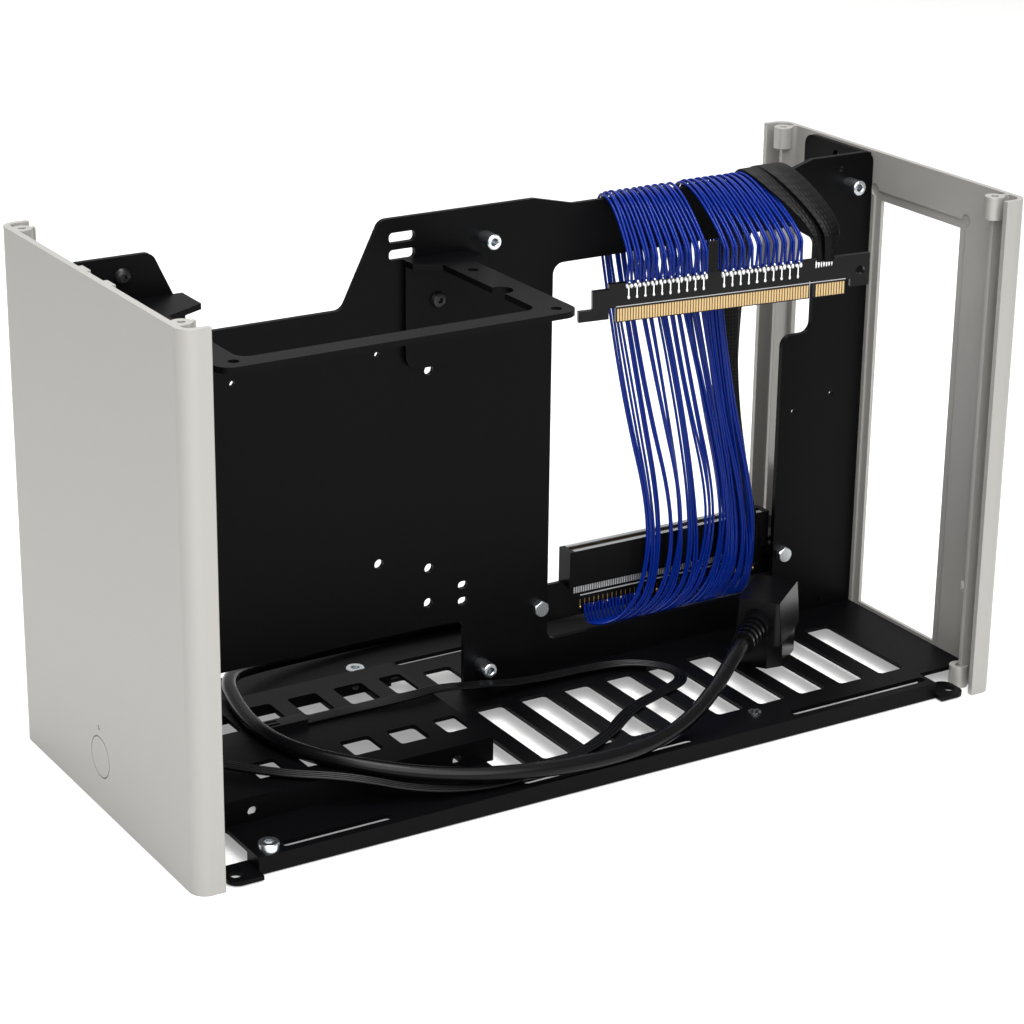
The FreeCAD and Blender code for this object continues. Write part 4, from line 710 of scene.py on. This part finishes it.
@dataclass
class CardSlot:
    """Card end of the riser: contacts in the slot, its pins and the solder row of the board."""

    middle: float = -22.0
    board_face: float = -21.2
    first: float = 34.4
    lead_in: float = 0.6
    pitch: float = 1.0
    count: int = 84
    top: float = 48.4
    contact_reach: float = 1.2
    contact_drop: float = 1.6
    contact_size: Point = (0.7, 0.55, 3.0)
    tick_reach: float = 2.6
    tick_size: Point = (1.9, 0.5, 0.08)
    pin_reach: float = 2.9
    pin_height: float = 33.2
    pin_size: Point = (0.4, 0.5, 2.6)
    ink_middle: float = 78.5
    ink_height: float = 29.6
    ink_lift: float = 0.03
    ink_size: Point = (0.05, 79.0, 0.5)
    solder_height: float = 25.0
    solder_first: float = 39.0
    solder_pitch: float = 2.0
    solder_count: int = 40
    solder_bead: Bead = Bead(0.6, (0.6, 0.8, 1.0), (0.9, 1.1, 1.5), 31, 0.2)
    leg_lift: float = 0.05
    leg_rise: float = 1.4
    leg_size: Point = (0.1, 0.35, 3.2)

    def build(self, shop: Workshop, row: Recipe, beads: Recipe) -> list[bpy.types.Object]:
        """Make the slot's metalwork.

        Args:
            shop: the shared frame and materials.
            row: the tree that makes a row of blocks.
            beads: the tree that makes a row of solder beads.

        Returns:
            The pieces on the slot board.
        """
        brass, tin = shop.paints[Slot.BRASS], shop.paints[Slot.TIN]
        parts = []
        for paint, reach, height, size in (
                (brass, self.contact_reach, self.top - self.contact_drop, self.contact_size),
                (tin, self.tick_reach, self.top, self.tick_size),
                (tin, self.pin_reach, self.pin_height, self.pin_size)):
            for side in BOTH_SIDES:
                start = (self.middle + side * reach, self.first + self.lead_in, height)
                parts.append(block_row(row, paint, size, start, (0.0, self.pitch, 0.0),
                                       self.count))
        parts.append(block_row(row, shop.paints[Slot.INK_AND_HIGHLIGHT], self.ink_size,
                               (self.board_face + self.ink_lift, self.ink_middle,
                                self.ink_height)))
        parts.append(block_row(row, brass, self.leg_size,
                               (self.board_face + self.leg_lift, self.solder_first,
                                self.solder_height + self.leg_rise),
                               (0.0, self.solder_pitch, 0.0), self.solder_count))
        parts.append(self.solder_bead.row(
            beads, brass, (self.board_face, self.solder_first, self.solder_height),
            self.solder_pitch, self.solder_count))
        mesh = merged("slot_metal", parts)
        mesh.transform(Matrix.Scale(MM, 4))
        return [shop.add("slot_metal", mesh)]


@dataclass(frozen=True)
class Station:
    """A place on a bundle's route: its middle, half its width along the case, and its disorder.

    loose_x and loose_y are how far a pair may drift, spread parts the wires of a pair, from 0 when
    they touch to 0.5 when all wires are evenly spaced, and stagger sets one above the other.
    """

    x: float
    y: float
    z: float
    half: float
    loose_x: float = 0.0
    loose_y: float = 0.0
    spread: float = 0.0
    stagger: float = 0.0


@dataclass
class WireBundle:
    """One group of twin wires from the card edge over the tray down to the slot board."""

    node: str
    group: tuple[float, float]
    stations: tuple[Station, ...]
    seed: int
    wire: float = 1.04
    width: float = 30.5
    rise: tuple[tuple[float, float], ...] = ((0.3, 9.2), (0.4, 10.6), (0.8, 14.0), (1.1, 20.0))
    twin: tuple[float, float] = (0.44, 0.34)
    sway: float = 0.2
    stray: float = 0.3
    touch: float = 0.52
    steps: int = 8

    def routes(self, edge: CardEdge) -> list[list[Point]]:
        """Control points of every wire.

        Args:
            edge: the card edge that the wires leave.

        Returns:
            One list of points for each wire.
        """
        dice = random.Random(self.seed)
        pitch = edge.joint_pitch(self.group)
        near = edge.sheet / 2 + self.wire / 2
        wires = []
        for pair in range(edge.pairs):
            share = 2.0 * (pair + 0.5) / edge.pairs - 1.0
            drift = [(dice.uniform(-1, 1) * stop.loose_x, dice.uniform(-1, 1) * stop.loose_y)
                     for stop in self.stations]
            twin = self.group[0] + pitch * (2 * pair + 1)
            for side in (-1, 1):
                along = twin + side * pitch / 2
                out, apart = (side * step for step in self.twin)
                joint, bend, meet, free = ((near + away, up) for away, up in self.rise)
                sway = dice.uniform(-self.sway, self.sway)
                route = [edge.spot(joint[0], along, joint[1]), edge.spot(bend[0], along, bend[1]),
                         edge.spot(meet[0] + out, twin + apart, meet[1]),
                         edge.spot(free[0] + out, twin + apart + sway, free[1])]
                for stop, (loose_x, loose_y) in zip(self.stations, drift):
                    apart = side * max(self.wire * self.touch,
                                       stop.half / edge.pairs * stop.spread)
                    stray = dice.uniform(-self.stray, self.stray)
                    route.append((stop.x + loose_x + stray * stop.loose_x,
                                  stop.y + share * stop.half + loose_y * (1 + stray) + apart,
                                  stop.z + side * stop.stagger))
                wires.append(route)
        return wires

    def middle(self, edge: CardEdge) -> list[Point]:
        """Control points of the bundle's middle line.

        Args:
            edge: the card edge that the wires leave.

        Returns:
            The points from the joints to the slot board.
        """
        along = (self.group[0] + self.group[1]) / 2
        near = edge.sheet / 2 + self.wire / 2
        start = [edge.spot(near + away, along, up) for away, up in self.rise]
        return start + [(stop.x, stop.y, stop.z) for stop in self.stations]

    def build(self, shop: Workshop, edge: CardEdge, sweep: Recipe) -> bpy.types.Object:
        """Args:
            shop: the shared frame and materials.
            edge: the card edge that the wires leave.
            sweep: the tree that gives a spline its round insulation.

        Returns:
            The bundle.
        """
        curve = route_curve(self.node, self.routes(edge), self.steps)
        mesh = sweep.bake(curve, {"Radius": self.wire / 2 * MM,
                                  "Material": shop.paints[Slot.WIRE]})
        piece = shop.add(f"{self.node}_strands", mesh, Slot.WIRE)
        path = points_on(route_curve("bundle_middle", [self.middle(edge)]))
        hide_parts(self.node)
        return piece


@dataclass
class WovenRibbon:
    """A flat woven ribbon, given by the routes of its two edges."""

    name: str
    near_edge: tuple[Point, ...]
    far_edge: tuple[Point, ...]
    thick: float = 0.9
    width: float = 11.6
    rim: float = 0.04
    rim_thin: float = 0.4
    corners: int = 8
    steps: int = 12
    replaces: str | None = None

    def mesh(self, shop: Workshop) -> tuple[bpy.types.Mesh, list[Vector]]:
        """Weave the ribbon between its two edges.

        Args:
            shop: the shared frame and materials.

        Returns:
            The mesh and the ribbon's middle line.
        """
        ones = points_on(route_curve("edge", [self.near_edge], self.steps))
        twos = points_on(route_curve("edge", [self.far_edge], self.steps))
        middle = [(a + b) / 2 for a, b in zip(ones, twos)]
        spots: list[Vector] = []
        for index, (one, two) in enumerate(zip(ones, twos)):
            ahead = middle[min(index + 1, len(middle) - 1)] - middle[max(index - 1, 0)]
            out = ahead.cross(two - one).normalized() * self.thick * MM / 2
            rim, thin = (two - one) * self.rim, out * self.rim_thin
            spots += [one + thin, one + rim + out, two - rim + out, two + thin,
                      two - thin, two - rim - out, one + rim - out, one - thin]
        ring = range(self.corners)
        faces = [tuple(ring)]
        for base in range(0, len(spots) - self.corners, self.corners):
            ahead_base = base + self.corners
            for side in ring:
                after = (side + 1) % self.corners
                faces.append((base + side, ahead_base + side, ahead_base + after, base + after))
        last = len(spots) - self.corners
        faces.append(tuple(last + corner for corner in reversed(ring)))
        mesh = bpy.data.meshes.new(self.name)
        mesh.from_pydata(spots, [], faces)
        mesh.materials.append(shop.paints[Slot.BRAID])
        mesh.polygons.foreach_set("use_smooth", [len(f) == 4 for f in faces])
        mesh.update()
        return mesh, middle

    def build(self, shop: Workshop) -> bpy.types.Object:
        """Args:
            shop: the shared frame and materials.

        Returns:
            The ribbon.
        """
        mesh, middle = self.mesh(shop)
        piece = shop.add(self.name, mesh, Slot.BRAID)
        if self.replaces:
            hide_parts(self.replaces)
        return piece


@dataclass
class MainsLead:
    """Round lead from the inlet along the floor to the supply's plug."""

    diameter: float = 5.4
    steps: int = 16
    rounding: int = 6
    route: tuple[Point, ...] = (
        (-38, 122, 21), (-38, 114, 21), (-41, 88, 16), (-58, 50, 9.4), (-64, 8, 9.4),
        (-65, -34, 9.4), (-60, -73, 11.4), (-42, -96, 18.7), (-14, -103.4, 18.1),
        (9, -104.8, 18.1), (29, -99, 18.1), (45.5, -83.5, 16.6), (55.5, -63.5, 13.4),
        (62.5, -38, 11), (65, -10, 9.6), (63.5, 13, 9.4), (57, 33, 10.8), (48.5, 51, 16.4),
        (38.26, 66.99, 23.4), (33.35, 73.31, 23.4))

    def build(self, shop: Workshop) -> bpy.types.Object:
        """Lay the lead.

        Args:
            shop: the shared frame and materials.

        Returns:
            The lead.
        """
        length = run_length(points_on(route_curve("lead_length", [self.route])))
        curve = route_curve("ac_lead_cord", [self.route], self.steps)
        curve.bevel_depth = self.diameter / 2 * MM
        curve.bevel_resolution = self.rounding
        curve.use_fill_caps = True
        curve.materials.append(shop.paints[Slot.PVC])
        piece = bpy.data.objects.new("ac_lead_cord", curve)
        bpy.context.scene.collection.objects.link(piece)
        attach(piece, "case")
        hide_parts("ac_lead")
        LOG.info("mains lead: %.0f mm", length / MM)
        return piece


@dataclass
class SwitchLead:
    """Flat lead of four cores from the switch board to its housing."""

    width: float = 5.2
    cores: int = 4
    steps: int = 12
    route: tuple[Point, ...] = (
        (-2.6, -148.3, 24), (-2.6, -144.3, 24), (14, -131, 17.45), (33, -113, 16.65),
        (46, -93, 16.15), (56.5, -70, 9.85), (60.5, -44, 7.35), (57, -14, 8.55), (46.1, 7.8, 7.35),
        (31, 27, 7.35), (25, 44, 7.35), (20.5, 58, 7.95), (9, 58.5, 8.55), (-2, 46, 8.85),
        (-4.2, 26, 8.65), (-3.4, 4, 9.45), (-1.6, -24, 14.85), (1, -36, 17.25), (2, -46, 16.95),
        (0, -67, 16.15), (0, -77.9, 16.05), (0, -85.9, 16.05))

    def build(self, shop: Workshop, sweep: Recipe) -> bpy.types.Object:
        """Lay the cores side by side.

        Args:
            shop: the shared frame and materials.
            sweep: the tree that gives a spline its round insulation.

        Returns:
            The lead.
        """
        middle = [Vector(p) for p in self.route]
        core = self.width / self.cores
        lines = []
        for number in range(self.cores):
            shift = core * (number + 0.5) - self.width / 2
            line = []
            for index, spot in enumerate(middle):
                ahead = middle[min(index + 1, len(middle) - 1)] - middle[max(index - 1, 0)]
                side = Vector((0, 0, 1)).cross(ahead).normalized()
                line.append(tuple(spot + side * shift))
            lines.append(line)
        mesh = sweep.bake(route_curve("switch_cores", lines, self.steps),
                          {"Radius": core / 2 * MM, "Material": shop.paints[Slot.PVC]})
        piece = shop.add("switch_lead_cores", mesh, Slot.PVC)
        path = points_on(route_curve("switch_middle", [self.route]))
        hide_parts("switch_lead")
        return piece


@dataclass(frozen=True)
class Lamp:
    """A square soft light, in millimetres and watts."""

    name: str
    place: Point
    aim: Point
    size: float
    power: float

    def hang(self) -> None:
        """Hang the lamp, turned to its aim."""
        data = bpy.data.lights.new(self.name, "AREA")
        data.shape = "SQUARE"
        data.size = self.size * MM
        data.energy = self.power
        lamp = bpy.data.objects.new(self.name, data)
        lamp.location = metres(self.place)
        toward = metres(self.aim) - metres(self.place)
        lamp.rotation_euler = toward.to_track_quat("-Z", "Y").to_euler()
        bpy.context.scene.collection.objects.link(lamp)


@dataclass
class Studio:
    """Camera, lights and floor."""

    eye: Point = (785.05, -487.83, 422.16)
    azimuth: float = 58.991
    elevation: float = 20.194
    roll: float = 0.497
    lens: float = 99.58
    sensor: float = 36.0
    shift: tuple[float, float] = (0.0290, -0.0161)
    view_reach: float = 100.0
    floor_half: float = 6000.0
    lamps: tuple[Lamp, ...] = (
        Lamp("key", (250, -1100, 1500), (0, 0, 60), 1100, 1.6),
        Lamp("fill", (200, -60, 1700), (0, 40, 80), 800, 27.0),
        Lamp("back", (-900, 300, 1500), (0, 0, 60), 1100, 13.0),
        Lamp("rear", (900, -280, 900), (20, 160, 140), 1300, 26.0))
    white: str = "#FFFFFF"
    sky: float = 0.5
    paper: str = "#C6C6C5"
    paper_roughness: float = 0.9
    glow: float = 0.3

    def camera(self) -> None:
        """Stand the camera where the photograph was taken."""
        az, el, tilt = (math.radians(a) for a in (self.azimuth, self.elevation, self.roll))
        back = Vector((math.sin(az) * math.cos(el), -math.cos(az) * math.cos(el), math.sin(el)))
        right = Vector((math.cos(az), math.sin(az), 0))
        up = back.cross(right)
        side = right * math.cos(tilt) + up * math.sin(tilt)
        top = up * math.cos(tilt) - right * math.sin(tilt)
        turn = Matrix((side, top, back)).transposed().to_4x4()
        data = bpy.data.cameras.new("camera")
        data.lens = self.lens
        data.sensor_width = self.sensor
        data.shift_x, data.shift_y = self.shift
        data.clip_end = self.view_reach
        camera = bpy.data.objects.new("camera", data)
        camera.matrix_world = Matrix.Translation(metres(self.eye)) @ turn
        bpy.context.scene.collection.objects.link(camera)
        bpy.context.scene.camera = camera

    def light(self) -> None:
        """Hang the soft lights and set the pale surroundings."""
        for lamp in self.lamps:
            lamp.hang()
        world = bpy.data.worlds.new("studio")
        world.use_nodes = True
        sky = world.node_tree.nodes["Background"]
        sky.inputs["Color"].default_value = linear(self.white)
        sky.inputs["Strength"].default_value = self.sky
        scene = bpy.context.scene
        scene.world = world
        scene.view_settings.view_transform = "Standard"

    def ground(self) -> None:
        """Lay the pale floor."""
        half = self.floor_half * MM
        mesh = bpy.data.meshes.new("floor")
        mesh.from_pydata([(-half, -half, 0), (half, -half, 0), (half, half, 0), (-half, half, 0)],
                         [], [(0, 1, 2, 3)])
        paper = bpy.data.materials.new("white_paper")
        paper.use_nodes = True
        shader = paper.node_tree.nodes["Principled BSDF"]
        shader.inputs["Base Color"].default_value = linear(self.paper)
        shader.inputs["Roughness"].default_value = self.paper_roughness
        shader.inputs["Emission Color"].default_value = linear(self.white)
        shader.inputs["Emission Strength"].default_value = self.glow
        mesh.materials.append(paper)
        floor = bpy.data.objects.new("floor", mesh)
        bpy.context.scene.collection.objects.link(floor)
        floor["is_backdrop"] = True

    def build(self) -> None:
        """Set up the whole studio."""
        self.camera()
        self.light()
        self.ground()


FRONT_WIRES = WireBundle(
    "riser_wires_front", (3.0, 33.5), (
        Station(-8.8, 54.5, 181.6, 15.0, 0.0, 0.25, 0.5, 0.35),
        Station(-21.3, 55.5, 181.6, 15.0, 0.5, 0.3, 0.5, 0.2),
        Station(-20.3, 58.0, 158.0, 15.5, 1.5, 1.0), Station(-14.2, 67.0, 104.0, 16.0, 1.8, 1.5),
        Station(-14.0, 78.0, 58.0, 16.0, 1.8, 1.6), Station(-15.0, 77.5, 30.0, 16.0, 0.8, 1.4),
        Station(-17.3, 69.0, 17.8, 15.5, 0.4, 1.2), Station(-19.6, 58.0, 17.2, 15.2, 0.4, 0.6, 0.5),
        Station(-20.3, 55.0, 21.0, 15.2, 0.0, 0.2, 0.5),
        Station(-20.3, 55.0, 26.0, 15.2, 0.0, 0.0, 0.5)),
    seed=5)
REAR_WIRES = WireBundle(
    "riser_wires_rear", (38.0, 68.5), (
        Station(-8.8, 89.0, 181.8, 15.0, 0.0, 0.25, 0.5, 0.35),
        Station(-21.3, 88.0, 181.8, 14.5, 0.5, 0.3, 0.5, 0.2),
        Station(-20.3, 84.0, 158.0, 10.5, 1.8, 0.8), Station(-14.2, 91.0, 104.0, 6.6, 2.6, 0.6),
        Station(-14.0, 103.0, 58.0, 6.6, 2.6, 0.6), Station(-15.0, 105.0, 31.0, 9.0, 1.4, 0.7),
        Station(-17.3, 99.0, 18.4, 13.0, 0.5, 0.8), Station(-19.6, 93.0, 17.2, 15.0, 0.4, 0.6, 0.5),
        Station(-20.3, 91.0, 21.0, 15.2, 0.0, 0.2, 0.5),
        Station(-20.3, 91.0, 26.0, 15.2, 0.0, 0.0, 0.5)),
    seed=9)


def ribbons(edge: CardEdge) -> tuple[WovenRibbon, WovenRibbon]:
    """The two woven ribbons beside the wires.

    Args:
        edge: the card edge that they leave.

    Returns:
        The ribbon next to the wires and the one outside it.
    """
    inner = WovenRibbon(
        "ribbon_inner",
        (edge.spot(2.0, 73.4, 8.6), edge.spot(2.4, 73.0, 13.0), edge.spot(1.0, 70.5, 22.0),
         (-8.6, 99.5, 183.0), (-21.3, 99.8, 183.0), (-21.6, 95.0, 158.0), (-19.4, 92.5, 104.0),
         (-18.6, 101.0, 58.0), (-16.9, 107.4, 36.0), (-20.3, 107.4, 27.0)),
        (edge.spot(2.0, 77.0, 8.6), edge.spot(2.4, 77.0, 13.0), edge.spot(-1.5, 77.5, 22.0),
         (-8.6, 111.0, 183.2), (-21.3, 111.3, 183.2), (-21.6, 106.5, 158.0), (-19.4, 104.0, 104.0),
         (-18.6, 112.5, 58.0), (-16.9, 118.8, 36.0), (-20.3, 118.8, 27.0)),
        replaces="riser_ribbon")
    outer = WovenRibbon(
        "ribbon_outer",
        (edge.spot(3.1, 75.6, 8.8), edge.spot(3.6, 75.6, 13.0), edge.spot(3.4, 75.0, 22.0),
         (-6.6, 107.0, 183.3), (-22.8, 106.0, 183.4), (-23.3, 99.0, 158.0), (-21.2, 93.5, 104.0),
         (-20.6, 99.0, 70.0), (-20.8, 102.5, 50.6)),
        (edge.spot(3.1, 79.2, 8.8), edge.spot(3.6, 79.6, 13.0), edge.spot(0.6, 83.0, 22.0),
         (-6.6, 118.4, 183.4), (-22.8, 117.4, 183.5), (-23.3, 110.5, 158.0), (-21.2, 105.0, 104.0),
         (-20.6, 110.5, 70.0), (-20.8, 114.0, 50.6)))
    return inner, outer


def write_size(sizes: dict[str, list[list[float]]], key: str) -> None:
    """Args:
        sizes: the bounds so far, which this call adds to.
        key: when the bounds were read.
    """
    low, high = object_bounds()
    sizes[key] = [list(low), list(high)]


def main() -> None:
    """Dress the case and set up the studio."""
    logging.basicConfig(level=logging.INFO, format="%(name)s %(message)s")
    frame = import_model()
    sizes: dict[str, list[list[float]]] = {}
    write_size(sizes, "loaded")
    shop = Workshop(frame["nodes"], {f.slot: f.material() for f in FINISHES})
    for name, slot in NODE_SLOTS.items():
        shop.paint(shop.nodes[name], slot)
    row, beads, sweep = block_row_recipe(), solder_row_recipe(), strand_recipe()
    edge = CardEdge()
    edge.build(shop, row, beads)
    CardSlot().build(shop, row, beads)
    for bundle in (FRONT_WIRES, REAR_WIRES):
        bundle.build(shop, edge, sweep)
    for ribbon in ribbons(edge):
        ribbon.build(shop)
    MainsLead().build(shop)
    SwitchLead().build(shop, sweep)
    Studio().build()
    write_size(sizes, "dressed")


if __name__ == "__main__":
    main()
